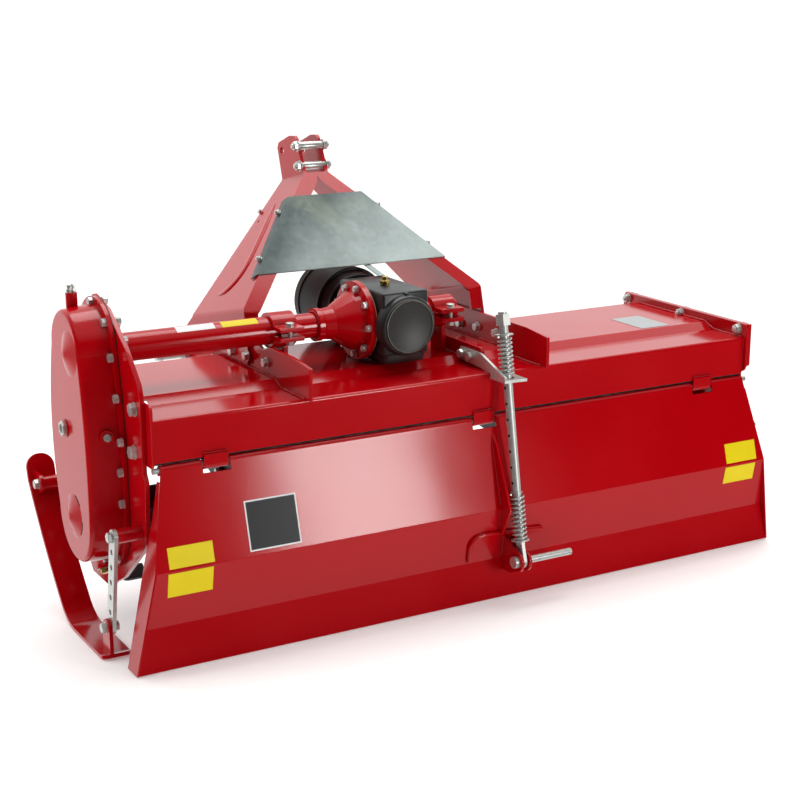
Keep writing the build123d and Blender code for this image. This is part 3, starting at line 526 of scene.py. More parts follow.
bpy.ops.object.select_all(action="DESELECT")
bpy.ops.mesh.primitive_cylinder_add(vertices=6, radius=0.0165, depth=0.009, location=(0, 0, 0.0045))
sight = bpy.context.active_object
bpy.ops.object.transform_apply(location=True, rotation=False, scale=False)
edit_faces(sight, lambda normal: normal.z > 0.9)
bpy.ops.mesh.inset(thickness=0.0045, depth=0)
bpy.ops.mesh.inset(thickness=0.0003, depth=-0.0022)
bpy.ops.object.mode_set(mode="OBJECT")
rounded_edges(sight, 0.5, segments=2, angle=40.0)
sight_ring = fasteners("sight_plug_ring", sight, [(spot(case_face_x - 1, sight_y, sight_z), LEFT)])
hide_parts("sight_plug")
bpy.ops.object.select_all(action="DESELECT")
bpy.ops.mesh.primitive_uv_sphere_add(segments=24, ring_count=12, radius=0.0105)
lens = bpy.context.active_object
bpy.ops.transform.resize(value=(0.16, 1.0, 1.0))
lens.location = spot(case_face_x - 7.6, sight_y, sight_z)
finish_piece(lens, "sight_plug_glass", "frame", glass, smooth=60.0)
scrap(sight)

# level plug low on the case's rear wall, drain plug at its foot, filler on top
rear_slope = Vector((-0.18, -0.98, 0.0))
level_spot = spot(-50, 119, 35)
welded_boss("level_plug_boss", level_spot, rear_slope, 14.0, 9.0)
level_head = hex_head(13.0, 6.0, 15.0)
fasteners("level_plug", level_head, [(level_spot + rear_slope * 0.0085, rear_slope)])
foot_slope = Vector((0.0, -0.55, -0.835))
drain_spot = spot(-58, 152, -243)
welded_boss("drain_plug_boss", drain_spot, foot_slope, 15.0, 10.0)
brass = mottled("turned_brass", "#8f7534", "#e0c274", 160.0, 3.0,
                fixed={"Metallic": 1.0, "Roughness": 0.32})
drain_head = hex_head(17.0, 8.0, 20.0)
fasteners("drain_plug", drain_head, [(drain_spot + foot_slope * 0.0095, foot_slope)],
          material=brass)
scrap(level_head)
scrap(drain_head)

# filler: two fittings side by side on the boss, each a hexagon, a thin neck and a small head
filler_top = spot(flange_face_x - 35, 262, shaft_z + 111)
repaint("case_filler", zinc)
vent_body, vent_head = hex_head(11.0, 6.0, 10.0, stub=2.4), hex_head(8.0, 4.4, 7.0)
vent_spots = [filler_top + Vector((side * 0.0057, side * 0.0035, 0)) for side in (-1, 1)]
vent = fasteners("filler_fittings", vent_body, [(place, UP) for place in vent_spots])
fasteners("filler_heads", vent_head, [(place + Vector((0, 0, 0.01)), UP) for place in vent_spots])
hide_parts("case_filler")
scrap(vent_body)
scrap(vent_head)

# ---- Shaft tube: drive line to the case ----------------------------------------------------
# Seamless steel tube round the cross shaft, its flange bolted to the side plate.
# Two blank stickers, one white and one yellow, lie along its top.
tube_radius = 30.0


def bolt_circle(count, first, radius, x, y, z, direction):
    """Bolt places evenly round a circle square to X, the first at an angle in degrees."""
    turns = [math.radians(first + 360 / count * step) for step in range(count)]
    return [(spot(x, y + radius * math.cos(turn), z + radius * math.sin(turn)), direction)
            for turn in turns]


repaint("side_shaft_tube", powder_red)
fasteners("shaft_tube_bolts", m10_head, bolt_circle(6, 30, 47, 7.0, shaft_y, shaft_z, RIGHT))


def ring_weld(name, centre, radius, width=6.0, body="frame", axis=RIGHT, pitch=3.4):
    """A weld laid all the way round a tube, as overlapping scallops."""
    count = int(2 * math.pi * radius / pitch)
    bpy.ops.object.select_all(action="DESELECT")
    bpy.ops.mesh.primitive_ico_sphere_add(subdivisions=1, radius=width / 2000)
    scallop = bpy.context.active_object
    bpy.ops.transform.resize(value=(0.9, 0.75, 0.75))
    bpy.ops.object.transform_apply(location=False, rotation=False, scale=True)
    spun = scallop.data
    shape = bmesh.new()
    shape.from_mesh(spun)
    one = shape.verts[:] + shape.edges[:] + shape.faces[:]
    bmesh.ops.translate(shape, vec=(0, 0, radius / 1000), verts=shape.verts[:])
    bmesh.ops.spin(shape, geom=one, cent=(0, 0, 0), axis=(1, 0, 0), angle=2 * math.pi * (count - 1) / count,
                   steps=count - 1, use_duplicate=True)
    shape.to_mesh(spun)
    shape.free()
    turn = Vector(axis).to_track_quat("X", "Z").to_matrix().to_4x4()
    scallop.matrix_world = Matrix.Translation(centre) @ turn
    return finish_piece(scallop, name, body, powder_red, smooth=180.0)


ring_weld("shaft_tube_weld", spot(7.5, shaft_y, shaft_z), tube_radius + 5.0, width=9.0)

# ---- Trumpet: the gearbox's left bearing housing -------------------------------------------
# Turned steel housing welded to the shaft tube and bolted to the gearbox over a paper gasket.
# It is sprayed red, and the gasket's tan edge shows at the flange.
box_left, box_right = 566.0, 690.0
box_centre = (box_left + box_right) / 2
trumpet_flange_radius = 86.0
repaint("gearbox_trumpet", powder_red)
ring_weld("trumpet_weld", spot(455.0, shaft_y, shaft_z), 29.5, width=8.0)
m8_head = hex_head(13.0, 6.5, 17.0)
fasteners("trumpet_bolts", m8_head, bolt_circle(9, 24, 74, box_left - 13.0, shaft_y, shaft_z, LEFT))

paper = mottled("tan_paper_gasket", "#8a6a4a", "#b8977a", 700.0, fixed={"Roughness": 0.85})


def thin_ring(name, centre, radius, thick, wall, axis, material, body="frame", edge=0.2):
    """A flat ring such as a gasket or a machined rim: a disc with its middle cut away."""
    bpy.ops.object.select_all(action="DESELECT")
    bpy.ops.mesh.primitive_cylinder_add(vertices=64, radius=radius / 1000, depth=thick / 1000)
    ring = bpy.context.active_object
    edit_faces(ring, lambda normal: abs(normal.z) > 0.9)
    bpy.ops.mesh.inset(thickness=wall / 1000, depth=0)
    bpy.ops.mesh.bridge_edge_loops()
    bpy.ops.mesh.select_all(action="SELECT")
    bpy.ops.mesh.normals_make_consistent(inside=False)
    bpy.ops.object.mode_set(mode="OBJECT")
    rounded_edges(ring, edge, segments=1, angle=40.0)
    set_at(ring, centre, axis)
    return finish_piece(ring, name, body, material)


thin_ring("trumpet_gasket", spot(box_left - 0.2, shaft_y, shaft_z), trumpet_flange_radius + 0.7, 1.4, 16.0,
          RIGHT, paper)

# ---- Bevel gearbox ---------------------------------------------------------------------------
# Iron casting, sand-cast with round bosses and webs between them, in satin black enamel.
# The sand's grain shows as a soft pebble, paler in patches where the film is thin.
black_iron = mottled("satin_black_cast_iron", "#17191a", "#2b2c2c", 22.0, 4.0, rough=(0.26, 0.46))
# moulding sand is about 0.3 mm, drawn at 2.5 mm
sand_size = 0.0025
bumped(black_iron, 1 / sand_size, 2.0, 0.35, 0.0005)

box_rear, box_front = 100.0, 300.0
box_bottom, box_top, sump_z = 127.0, 266.0, 107.0
box_neck = 6.0
bpy.ops.object.select_all(action="DESELECT")
bpy.ops.mesh.primitive_cube_add(size=1.0)
casting = bpy.context.active_object
casting.scale = ((box_right - box_left - 2 * box_neck) / 1000, (box_front - box_rear) / 1000,
                 (box_top - box_bottom) / 1000)
casting.location = spot(box_centre, (box_rear + box_front) / 2, (box_bottom + box_top) / 2)
bpy.ops.object.transform_apply(location=True, rotation=False, scale=True)
# its upright corners are broad, and the top's and bottom's edges tighter
bpy.ops.object.mode_set(mode="EDIT")
bpy.ops.mesh.select_all(action="DESELECT")
shape = bmesh.from_edit_mesh(casting.data)
for corner_edge in shape.edges:
    corner_edge.select = abs(corner_edge.verts[0].co.z - corner_edge.verts[1].co.z) > 0.05
bmesh.update_edit_mesh(casting.data)
bpy.ops.mesh.bevel(offset=0.017, segments=5)
bpy.ops.object.mode_set(mode="OBJECT")
rounded_edges(casting, 5.0, segments=3, angle=60.0)


def casting_round(x, y, z, radius, far_radius, start, end, axis, edge=3.0, vertices=56):
    """A tapered round of the casting from start to end along an axis, joined to it as one skin."""
    middle = (start + end) / 2
    point = {"X": spot(middle, y, z), "Y": spot(x, middle, z), "Z": spot(x, y, middle)}[axis]
    bpy.ops.object.select_all(action="DESELECT")
    bpy.ops.mesh.primitive_cone_add(vertices=vertices, radius1=radius / 1000, radius2=far_radius / 1000,
                                    depth=abs(end - start) / 1000, location=(0, 0, 0))
    part = bpy.context.active_object
    rounded_edges(part, edge, segments=3, angle=40.0)
    way = {"X": Vector((end - start, 0, 0)), "Y": Vector((0, end - start, 0)),
           "Z": Vector((0, 0, end - start))}[axis]
    set_at(part, point, way)
    bpy.ops.object.transform_apply(location=True, rotation=True, scale=True)
    return part


def casting_web(low, high, edge=4.0):
    """A cast rib between two corners, its edges well rounded."""
    bpy.ops.object.select_all(action="DESELECT")
    bpy.ops.mesh.primitive_cube_add(size=1.0, location=(low + high) / 2)
    web = bpy.context.active_object
    web.scale = high - low
    bpy.ops.object.transform_apply(location=True, rotation=False, scale=True)
    rounded_edges(web, edge, segments=3, angle=40.0)
    return web


parts = [
    casting,
    casting_round(box_centre, shaft_y, shaft_z, 83.0, 72.0, box_left, box_left + 22, "X"),
    casting_round(box_centre, shaft_y, shaft_z, 64.0, 60.0, box_right, box_right - 14, "X"),
    casting_round(box_centre, shaft_y, shaft_z, 70.0, 64.0, box_rear + 12, box_rear - 16, "Y", edge=4.0),
    casting_round(box_centre, shaft_y, shaft_z, 57.0, 50.0, box_front - 8, box_front + 38, "Y"),
    casting_round(box_centre, 192.0, shaft_z, 15.0, 13.0, box_top - 4, box_top, "Z", edge=1.0, vertices=24),
    casting_web(spot(box_centre - 5, box_rear - 8, shaft_z + 50),
                spot(box_centre + 5, box_rear + 60, box_top - 1)),
    casting_web(spot(box_centre - 5, box_rear - 8, box_bottom + 1),
                spot(box_centre + 5, box_rear + 60, shaft_z - 50)),
    casting_web(spot(box_left + 3, shaft_y - 5, shaft_z + 50),
                spot(box_left + 40, shaft_y + 5, box_top - 1)),
    casting_web(spot(box_left + 8, box_rear + 4, box_top - 9),
                spot(box_left + 22, box_front - 4, box_top - 1)),
    casting_web(spot(box_right - 22, box_rear + 4, box_top - 9),
                spot(box_right - 8, box_front - 4, box_top - 1)),
    # the sump comes down to just above the deck
    casting_web(spot(box_left + 10, box_rear + 3, sump_z),
                spot(box_right - 10, box_front - 12, box_bottom + 30), edge=11.0),
]
join(parts)
finish_piece(casting, "gearbox_casting", "frame", black_iron, smooth=35.0)
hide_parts("gearbox_housing")


def face_outward():
    """Turns the active piece's normals outward."""
    bpy.ops.object.mode_set(mode="EDIT")
    bpy.ops.mesh.select_all(action="SELECT")
    bpy.ops.mesh.normals_make_consistent(inside=False)
    bpy.ops.object.mode_set(mode="OBJECT")


# rear bearing cover: a pressed disc in a machined seat, held by a snap ring
rear_face_y = box_rear - 16.0
bpy.ops.object.select_all(action="DESELECT")
bpy.ops.mesh.primitive_cylinder_add(vertices=64, radius=0.0585, depth=0.004, location=(0, 0, 0.002))
cover = bpy.context.active_object
edit_faces(cover, lambda normal: normal.z > 0.9)
bpy.ops.mesh.inset(thickness=0.0025, depth=0)
bpy.ops.mesh.inset(thickness=0.002, depth=-0.001)
bpy.ops.object.mode_set(mode="OBJECT")
face_outward()
rounded_edges(cover, 0.6, segments=2, angle=35.0)
set_at(cover, spot(box_centre, rear_face_y, shaft_z), REAR)
cover_enamel = mottled("pressed_steel_black_enamel", "#262624", "#31302e", 60.0, 4.0,
                       fixed={"Roughness": 0.42})
finish_piece(cover, "gearbox_cover_disc", "frame", cover_enamel)
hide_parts("gearbox_rear_cover")
worn_steel = mottled("machined_steel_worn", "#3c3a34", "#8e8a80", 120.0, 5.0,
                     fixed={"Metallic": 1.0, "Roughness": 0.4})
thin_ring("gearbox_cover_rim", spot(box_centre, rear_face_y - 3.8, shaft_z), 57.4, 1.0, 1.6, REAR,
          worn_steel)

# breather: a brass hexagon with a smaller one for its cap
breather_hex = hex_head(19.0, 8.0, 19.0)
breather_cap = hex_head(12.0, 7.0, 16.0)
breather = fasteners("breather_hexagon", breather_hex, [(spot(box_centre, 192, box_top), UP)],
                     material=brass)
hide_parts("gearbox_breather")
fasteners("breather_cap", breather_cap, [(spot(box_centre, 192, box_top + 10), UP)],
          material=brass)
scrap(breather_hex)
scrap(breather_cap)

# ---- Right stub, its bearing cap and clamp -----------------------------------------------------
# The gearbox's blank right side ends in a turned red stub held by a bolted bearing cap.
repaint("gearbox_stub", powder_red)
fasteners("stub_cap_bolts", m8_head, bolt_circle(8, 22.5, 54, box_right + 14.0, shaft_y, shaft_z, RIGHT))
for node in ("tube_clamp_left", "tube_clamp_right"):
    finished_plate(node, 1.2)
for side, node in (("left", "tube_clamp_left"), ("right", "tube_clamp_right")):
    low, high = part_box(node)
    ear_x = (low.x + high.x) / 2
    top = Vector((ear_x, low.y + 0.013, corner.z + (shaft_z + 15) / 1000))
    foot = Vector((ear_x, low.y + 0.013, corner.z + (shaft_z - 15) / 1000))
    fasteners("tube_clamp_bolt_" + side, m10_head, [(top, UP), (foot, DOWN)])
    bpy.ops.object.select_all(action="DESELECT")
    bpy.ops.mesh.primitive_cylinder_add(vertices=20, radius=0.005, depth=0.05, location=(top + foot) / 2)
    rod = bpy.context.active_object
    rounded_edges(rod, 0.8, segments=2, angle=40.0)
    finish_piece(rod, "tube_clamp_stud_" + side, "frame", zinc)

# ---- Support plates across the deck --------------------------------------------------------------
# 8 mm plates on edge, fillet welded to the hood on both sides, that carry the mast's feet.
# The welds are laid by hand and painted over with the plates.
support_thick = 8.0
supports = (("support_plate_left", 333.0, -20.0, 470.0), ("support_plate_right", 915.0, -20.0, 470.0),
            ("spring_plate", 787.0, 44.0, 250.0))
for node, x, rear, front in supports:
    finished_plate(node, 1.2)
    for side, offset in (("a", -1.0), ("b", support_thick + 1.0)):
        runs = ((max(rear, 3.0), 104.0, 88.0, 88.0), (142.0, min(front, 408.0), 102.0, 102.0))
        for index, (y0, y1, z0, z1) in enumerate(runs):
            if y1 > y0:
                weld_bead(f"{node}_weld_{side}{index}", spot(x + offset, y0, z0 + 1),
                          spot(x + offset, y1, z1 + 1))
        weld_bead(f"{node}_weld_{side}_step", spot(x + offset, 108, 89.5), spot(x + offset, 139, 103.5))
m12_head = hex_head(18.0, 8.0, 24.0)
foot_spots = ((260, 128), (180, 128), (335, 123))
fasteners("support_bolts_left", m12_head,
          [(spot(333.0 if y < 250 else 325.0, y, z), LEFT) for y, z in foot_spots]
          + [(spot(341.0, y, z), RIGHT) for y, z in foot_spots])
fasteners("support_bolts_right", m12_head,
          [(spot(923.0 if y < 250 else 931.0, y, z), RIGHT) for y, z in foot_spots]
          + [(spot(915.0, y, z), LEFT) for y, z in foot_spots])

# ---- Mast arms and the top link's pins -----------------------------------------------------------
# Two 8 mm plates folded in towards the top link, each with a folded rear edge and a pressed
# panel edge. The pins are zinc plated, nutted outside the plates.
for side in ("left", "right"):
    finished_plate("mast_arm_" + side, 1.2)

head_gap = 48.0
arm_thick = 8.0
head_inner = (box_centre - head_gap / 2, box_centre + head_gap / 2)
pin_spots = (("upper", 548.0, 538.0), ("lower", 536.0, 493.0))
for name, y, z in pin_spots:
    bpy.ops.object.select_all(action="DESELECT")
    bpy.ops.mesh.primitive_cylinder_add(vertices=40, radius=0.0095, depth=(head_gap + 2 * arm_thick) / 1000)
    pin = bpy.context.active_object
    rounded_edges(pin, 1.0, segments=2, angle=40.0)
    pin.rotation_euler = (0, math.radians(90), 0)
    pin.location = spot(box_centre, y, z)
    finish_piece(pin, f"top_link_pin_{name}_turned", "frame", zinc)
    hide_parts("top_link_pin_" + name)
    fasteners(f"top_link_pin_{name}_nuts", m12_lock_nut, [
        (spot(head_inner[0] - arm_thick, y, z), LEFT), (spot(head_inner[1] + arm_thick, y, z), RIGHT)])

# a panel's edge is pressed outward down each arm's sloping face and curves to the front at its foot
bend_tilt = math.radians(12.85)
arm_lower_bend, arm_upper_bend = 278.0, 577.0
arm_foot_x, arm_head_x = 333.0, 604.0
arm_run, arm_climb = arm_head_x - arm_foot_x, arm_upper_bend - arm_lower_bend
arm_slant = math.hypot(arm_run, arm_climb)


def arm_face(y, z, side, out=0.0):
    """A point on an arm's outer face at its sloping part, out mm clear of it."""
    height = y * math.sin(bend_tilt) + z * math.cos(bend_tilt)
    x = arm_foot_x + (height - arm_lower_bend) / arm_climb * arm_run - (arm_thick + out) * arm_slant / arm_climb
    return spot(x if side == "left" else 2 * box_centre - x, y, z)


def arm_outward(side):
    """The way that an arm's outer face looks."""
    way = -1 if side == "left" else 1
    return Vector((way * arm_climb, arm_run * math.sin(bend_tilt),
                   arm_run * math.cos(bend_tilt))).normalized()


panel_edge = ((560.0, 404.0), (541.0, 386.0), (500.0, 345.0), (468.0, 309.0), (449.0, 284.0),
              (444.0, 264.0),
              (452.0, 242.0), (470.0, 226.0), (498.0, 218.0))
for side in ("left", "right"):
    bpy.ops.object.select_all(action="DESELECT")
    bpy.ops.curve.primitive_nurbs_path_add(location=(0, 0, 0))
    edge = bpy.context.active_object
    spline = edge.data.splines[0]
    spline.points.add(len(panel_edge) - len(spline.points))
    # drawn flat on the arm's face, flattened to a low swell, then laid on it
    start = arm_face(*panel_edge[0], side)
    along = (arm_face(*panel_edge[2], side) - start).normalized()
    across = arm_outward(side).cross(along)
    for index, (point, (y, z)) in enumerate(zip(spline.points, panel_edge)):
        way = arm_face(y, z, side) - start
        point.co = (way.dot(along), way.dot(across), 0, 1.0)
        # it runs out to nothing at both ends
        point.radius = 0.3 if index in (0, len(panel_edge) - 1) else 1.0
    spline.order_u = 4
    spline.use_endpoint_u = True
    edge.data.bevel_depth = 0.011
    edge.data.bevel_resolution = 6
    edge.data.use_fill_caps = True
    bpy.ops.object.convert(target="MESH")
    edge = bpy.context.active_object
    edge.scale = (1, 1, 0.36)
    bpy.ops.object.transform_apply(location=False, rotation=False, scale=True)
    edge.matrix_world = Matrix.Translation(start) @ Matrix((along, across,
                                                            arm_outward(side))).transposed().to_4x4()
    finish_piece(edge, f"mast_arm_{side}_pressed_edge", "frame", powder_red, smooth=60.0)
# a small bolt and a spare hole near the left arm's front edge, for a hose or a cable clip
m6_head = hex_head(10.0, 4.5, 12.0)
clip_bolt, clip_hole = (616.0, 380.0), (586.0, 363.6)
fasteners("mast_arm_clip_bolt", m6_head, [(arm_face(*clip_bolt, "left"), arm_outward("left"))])
scrap(m6_head)

# ---- Lower hitch studs -----------------------------------------------------------------------------
# Turned Category 1 studs, shouldered and nutted through the arm's foot, with a cross hole
# at the tip for a spring clip. Zinc plated.
for side, way in (("left", -1), ("right", 1)):
    repaint("lower_hitch_stud_" + side, zinc)
    low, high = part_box("lower_hitch_stud_" + side)
    tip_x = low.x + 0.009 if way < 0 else high.x - 0.009
    thin_ring(f"lower_hitch_clip_{side}", Vector((tip_x, (low.y + high.y) / 2, (low.z + high.z) / 2)), 17.0,
              2.4,
              3.0, Vector((1, 0, 0.35)), zinc)

# ---- Shield plate -----------------------------------------------------------------------------------
# 2.5 mm galvanised sheet between the arms, its sides folded down over their outer faces and
# bolted on. The passivated zinc is cloudy, blue-grey with a green and yellow bloom.
galvanised = bpy.data.materials.new("galvanised_sheet_steel")
galvanised.use_nodes = True
tree = galvanised.node_tree
shader = tree.nodes["Principled BSDF"]
shader.inputs["Metallic"].default_value = 0.85
place = add_node(tree, "ShaderNodeTexCoord")
# the bath's clouds are about 90 mm across, and the spangle's crystals about 12 mm
clouding = add_node(tree, "ShaderNodeTexNoise",
                    values={"Scale": 1 / 0.09, "Detail": 3.0, "Roughness": 0.55},
                    links={"Vector": (place, "Object")})
# painted light and shade: the zinc is painted paler towards the sheet's lower right and darker towards its upper
# left, as the light falls on it
axes = add_node(tree, "ShaderNodeSeparateXYZ", links={"Vector": (place, "Object")})
painted_light_per_metre_x, painted_light_per_metre_z, painted_light_at_origin, cloud_share = 2.4, -4.46, 3.86, 0.5
painted_light_ramp = add_node(tree, "ShaderNodeMath", settings={"operation": "MULTIPLY_ADD"},
                   values={1: painted_light_per_metre_x, 2: painted_light_at_origin},
                   links={0: (axes, "X")})
painted_light_ramp = add_node(tree, "ShaderNodeMath", settings={"operation": "MULTIPLY_ADD"},
                   values={1: painted_light_per_metre_z},
                   links={0: (axes, "Z"), 2: (painted_light_ramp, "Value")})
pale = add_node(tree, "ShaderNodeMath", settings={"operation": "MULTIPLY_ADD", "use_clamp": True},
                values={1: cloud_share}, links={0: (clouding, "Fac"), 2: (painted_light_ramp, "Value")})
bath = add_node(tree, "ShaderNodeMix", settings={"data_type": "RGBA"},
                values={6: linear("#4d5655"), 7: linear("#aeb9b6")}, links={0: (pale, "Value")})
bloom = add_node(tree, "ShaderNodeTexNoise", values={"Scale": 1 / 0.15, "Detail": 1.0},
                 links={"Vector": (place, "Object")})
bloom_share = add_node(tree, "ShaderNodeMapRange",
                       values={"From Min": 0.5, "From Max": 0.75, "To Max": 0.35},
                       links={"Value": (bloom, "Fac")})
tinted = add_node(tree, "ShaderNodeMix", settings={"data_type": "RGBA"}, values={7: linear("#878e78")},
                  links={0: (bloom_share, "Result"), 6: (bath, 2)})
spangle = add_node(tree, "ShaderNodeTexVoronoi", values={"Scale": 1 / 0.012, "Randomness": 1.0},
                   links={"Vector": (place, "Object")})
crystal = add_node(tree, "ShaderNodeSeparateColor", links={"Color": (spangle, "Color")})
crystal_tone = add_node(tree, "ShaderNodeMapRange", values={"To Min": 0.96, "To Max": 1.04},
                        links={"Value": (crystal, "Green")})
tone = add_node(tree, "ShaderNodeHueSaturation",
                links={"Color": (tinted, 2), "Value": (crystal_tone, "Result")})
tree.links.new(tone.outputs["Color"], shader.inputs["Base Color"])
gloss = add_node(tree, "ShaderNodeMapRange", values={"To Min": 0.36, "To Max": 0.46},
                 links={"Value": (crystal, "Red")})
tree.links.new(gloss.outputs["Result"], shader.inputs["Roughness"])

# distances up the sheet from its foot, and half widths at the folds
sheet_thick, sheet_gap, flange_width = 2.5, 0.3, 23.0
shield_foot, shield_head = Vector((0, 333.0, 283.8)), Vector((0, 479.0, 437.0))
foot_row, head_row = (2.0, 240.5), (204.0, 93.0)
up_sheet = (shield_head - shield_foot).normalized()
off_sheet = Vector((0, -up_sheet.z, up_sheet.y))
shield_bolt_rows, shield_bolt_drop = (45.0, 165.0), 13.0


def shield_fold(side, row, drop=0.0, out=0.0):
    """A point on a fold of the shield, row = (distance up it, half width), or drop mm down its flange."""
    way = -1 if side == "left" else 1
    place = shield_foot + up_sheet * row[0] + off_sheet * sheet_gap
    fold = Vector((way * (head_row[1] - foot_row[1]), 0, 0)) + up_sheet * (head_row[0] - foot_row[0])
    down = fold.cross(arm_outward(side)).normalized()
    down = down if down.dot(off_sheet) < 0 else -down
    clear = fold.cross(down).normalized()
    clear = clear if clear.x * way > 0 else -clear
    return spot(box_centre + way * row[1], place.y, place.z) + (down * drop + clear * out) / 1000, clear


bpy.ops.object.select_all(action="DESELECT")
bpy.ops.mesh.primitive_grid_add(x_subdivisions=3, y_subdivisions=1, size=1.0, location=(0, 0, 0))
shield = bpy.context.active_object
bpy.ops.object.mode_set(mode="EDIT")
shape = bmesh.from_edit_mesh(shield.data)
for vert in shape.verts:
    side = "left" if vert.co.x < 0 else "right"
    drop = flange_width if abs(vert.co.x) > 0.4 else 0.0
    vert.co = shield_fold(side, foot_row if vert.co.y < 0 else head_row, drop)[0]
bmesh.update_edit_mesh(shield.data)
bpy.ops.mesh.select_all(action="SELECT")
bpy.ops.mesh.normals_make_consistent(inside=False)
bpy.ops.object.mode_set(mode="OBJECT")
thicken = shield.modifiers.new("sheet", "SOLIDIFY")
thicken.thickness = sheet_thick / 1000
thicken.offset = 1.0 if shield.data.polygons[1].normal.z > 0 else -1.0
thicken.use_even_offset = True
bpy.ops.object.modifier_apply(modifier=thicken.name)
face_outward()
rounded_edges(shield, 1.0, segments=3, angle=25.0)
finish_piece(shield, "shield_folded", "frame", galvanised)
flat_shine(shield)
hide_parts("shield_plate")
shield_bolts = []
for side in ("left", "right"):
    for up in shield_bolt_rows:
        share = (up - foot_row[0]) / (head_row[0] - foot_row[0])
        row = (up, foot_row[1] + share * (head_row[1] - foot_row[1]))
        shield_bolts.append(shield_fold(side, row, shield_bolt_drop, sheet_thick))
m8_nut = hex_head(13.0, 5.5, 16.0, stub=3.0)
fasteners("shield_bolts", m8_nut, shield_bolts)

# strap: a folded galvanised strip from the shield's foot down behind the breather
strap_width = 16.0
strap_line = (spot(box_centre + 36, 338, 286), spot(box_centre + 40, 312, 277),
              spot(box_centre + 42, 280, 269))
bpy.ops.object.select_all(action="DESELECT")
bpy.ops.mesh.primitive_plane_add(size=1.0, location=(0, 0, 0))
strap = bpy.context.active_object
bpy.ops.object.mode_set(mode="EDIT")
bpy.ops.mesh.select_all(action="SELECT")
bpy.ops.mesh.delete(type="ONLY_FACE")
bpy.ops.mesh.select_all(action="DESELECT")
shape = bmesh.from_edit_mesh(strap.data)
for vert in shape.verts:
    vert.select = vert.co.y > 0
bmesh.update_edit_mesh(strap.data)
bpy.ops.mesh.delete(type="VERT")
shape = bmesh.from_edit_mesh(strap.data)
for vert in shape.verts:
    vert.co = strap_line[0] + Vector((math.copysign(strap_width / 2000, vert.co.x), 0, 0))
for edge in shape.edges:
    edge.select = True
bmesh.update_edit_mesh(strap.data)
for start, end in zip(strap_line, strap_line[1:]):
    bpy.ops.mesh.extrude_edges_move(TRANSFORM_OT_translate={"value": end - start})
bpy.ops.object.mode_set(mode="OBJECT")
thicken = strap.modifiers.new("thickness", "SOLIDIFY")
thicken.thickness = 0.002
bpy.ops.object.modifier_apply(modifier=thicken.name)
rounded_edges(strap, 0.4, segments=1, angle=25.0)
finish_piece(strap, "shield_strap", "frame", galvanised)

# ---- Spring bracket ---------------------------------------------------------------------------------
# 6 mm galvanised strip, bolted to the small plate on the deck and folded level over the hood's
# rear edge, with a slot in which the spring rod slides.
finished_plate("spring_bracket", 0.9, material=zinc)
bracket_x = 781.0
fasteners("spring_bracket_bolts", m12_head, [(spot(bracket_x, y, 110), LEFT) for y in (113, 78)])
fasteners("spring_bracket_nuts", m12_head, [(spot(795.0, y, 110), RIGHT) for y in (113, 78)])

# ---- Input shaft and its shield ---------------------------------------------------------------------
# A moulded polythene bell round the splined input shaft, stepped in three broad bands.
# The shaft is hardened steel, oiled.
black_plastic = mottled("moulded_black_polythene", "#0e0d0e", "#191616", 40.0, 4.0, rough=(0.35, 0.5),
                        fixed={"IOR": 1.5, "Specular IOR Level": 0.3})
repaint("pto_shield", black_plastic)
for index, (y, radius, wide) in enumerate(((319.0, 77.2, 12.0), (354.0, 87.6, 12.0), (448.0, 91.4, 22.0))):
    thin_ring(f"bell_band_{index}", spot(box_centre, y, shaft_z), radius, wide, 4.0, FRONT, black_plastic,
              edge=1.6)
repaint("pto_shaft", worn_steel)
thin_ring("input_shaft_groove_ring", spot(box_centre, 344.0, shaft_z), 24.0, 5.0, 6.3, FRONT, worn_steel,
          body="input_shaft")

# ---- Skids ---------------------------------------------------------------------------------------
# A curved flat bar each side, bolted on a welded boss in front and hung on a drilled link at
# the rear. The bars are powder coated, the links and bolts zinc plated.
left_lug_x = -84.0
left_link_x = -75.7
machine_middle = 750.0
for side in ("left", "right"):
    finished_plate("skid_" + side, 1.2)
    finished_plate("skid_link_" + side, 0.8, material=zinc)
    finished_plate("skid_spacers_" + side, 1.2)
skid_pivot, link_top, link_low = (482.0, -159.0), (43.0, -149.0), (80.0, -352.0)
heads = []
for face_x, (y, z) in ((left_lug_x, skid_pivot), (left_link_x, link_top), (left_lug_x, link_low)):
    heads.append((spot(face_x, y, z), LEFT))
    heads.append((spot(2 * machine_middle - face_x, y, z), RIGHT))
nuts = [(spot(left_link_x + 8, *link_low), RIGHT),
        (spot(2 * machine_middle - left_link_x - 8, *link_low), LEFT)]
skid_head = hex_head(19.0, 8.0, 24.0)
fasteners("skid_bolts", skid_head, heads)
fasteners("skid_nuts", skid_head, nuts)

# ---- Rotor ---------------------------------------------------------------------------------------
# Tube with seven welded flanges, and L-shaped forged tines bolted to them in pairs. Black
# paint, scoured to dull steel where the soil wears it.
rub_size = 0.03
rotor_black = mottled("satin_black_paint", "#17181a", "#2d2e30", 1 / rub_size, 5.0, rough=(0.35, 0.6),
                      fixed={"IOR": 1.5})
finished_plate("rotor_tube", 1.0, body="rotor", material=rotor_black)
finished_plate("tines", 1.4, body="rotor", material=rotor_black)

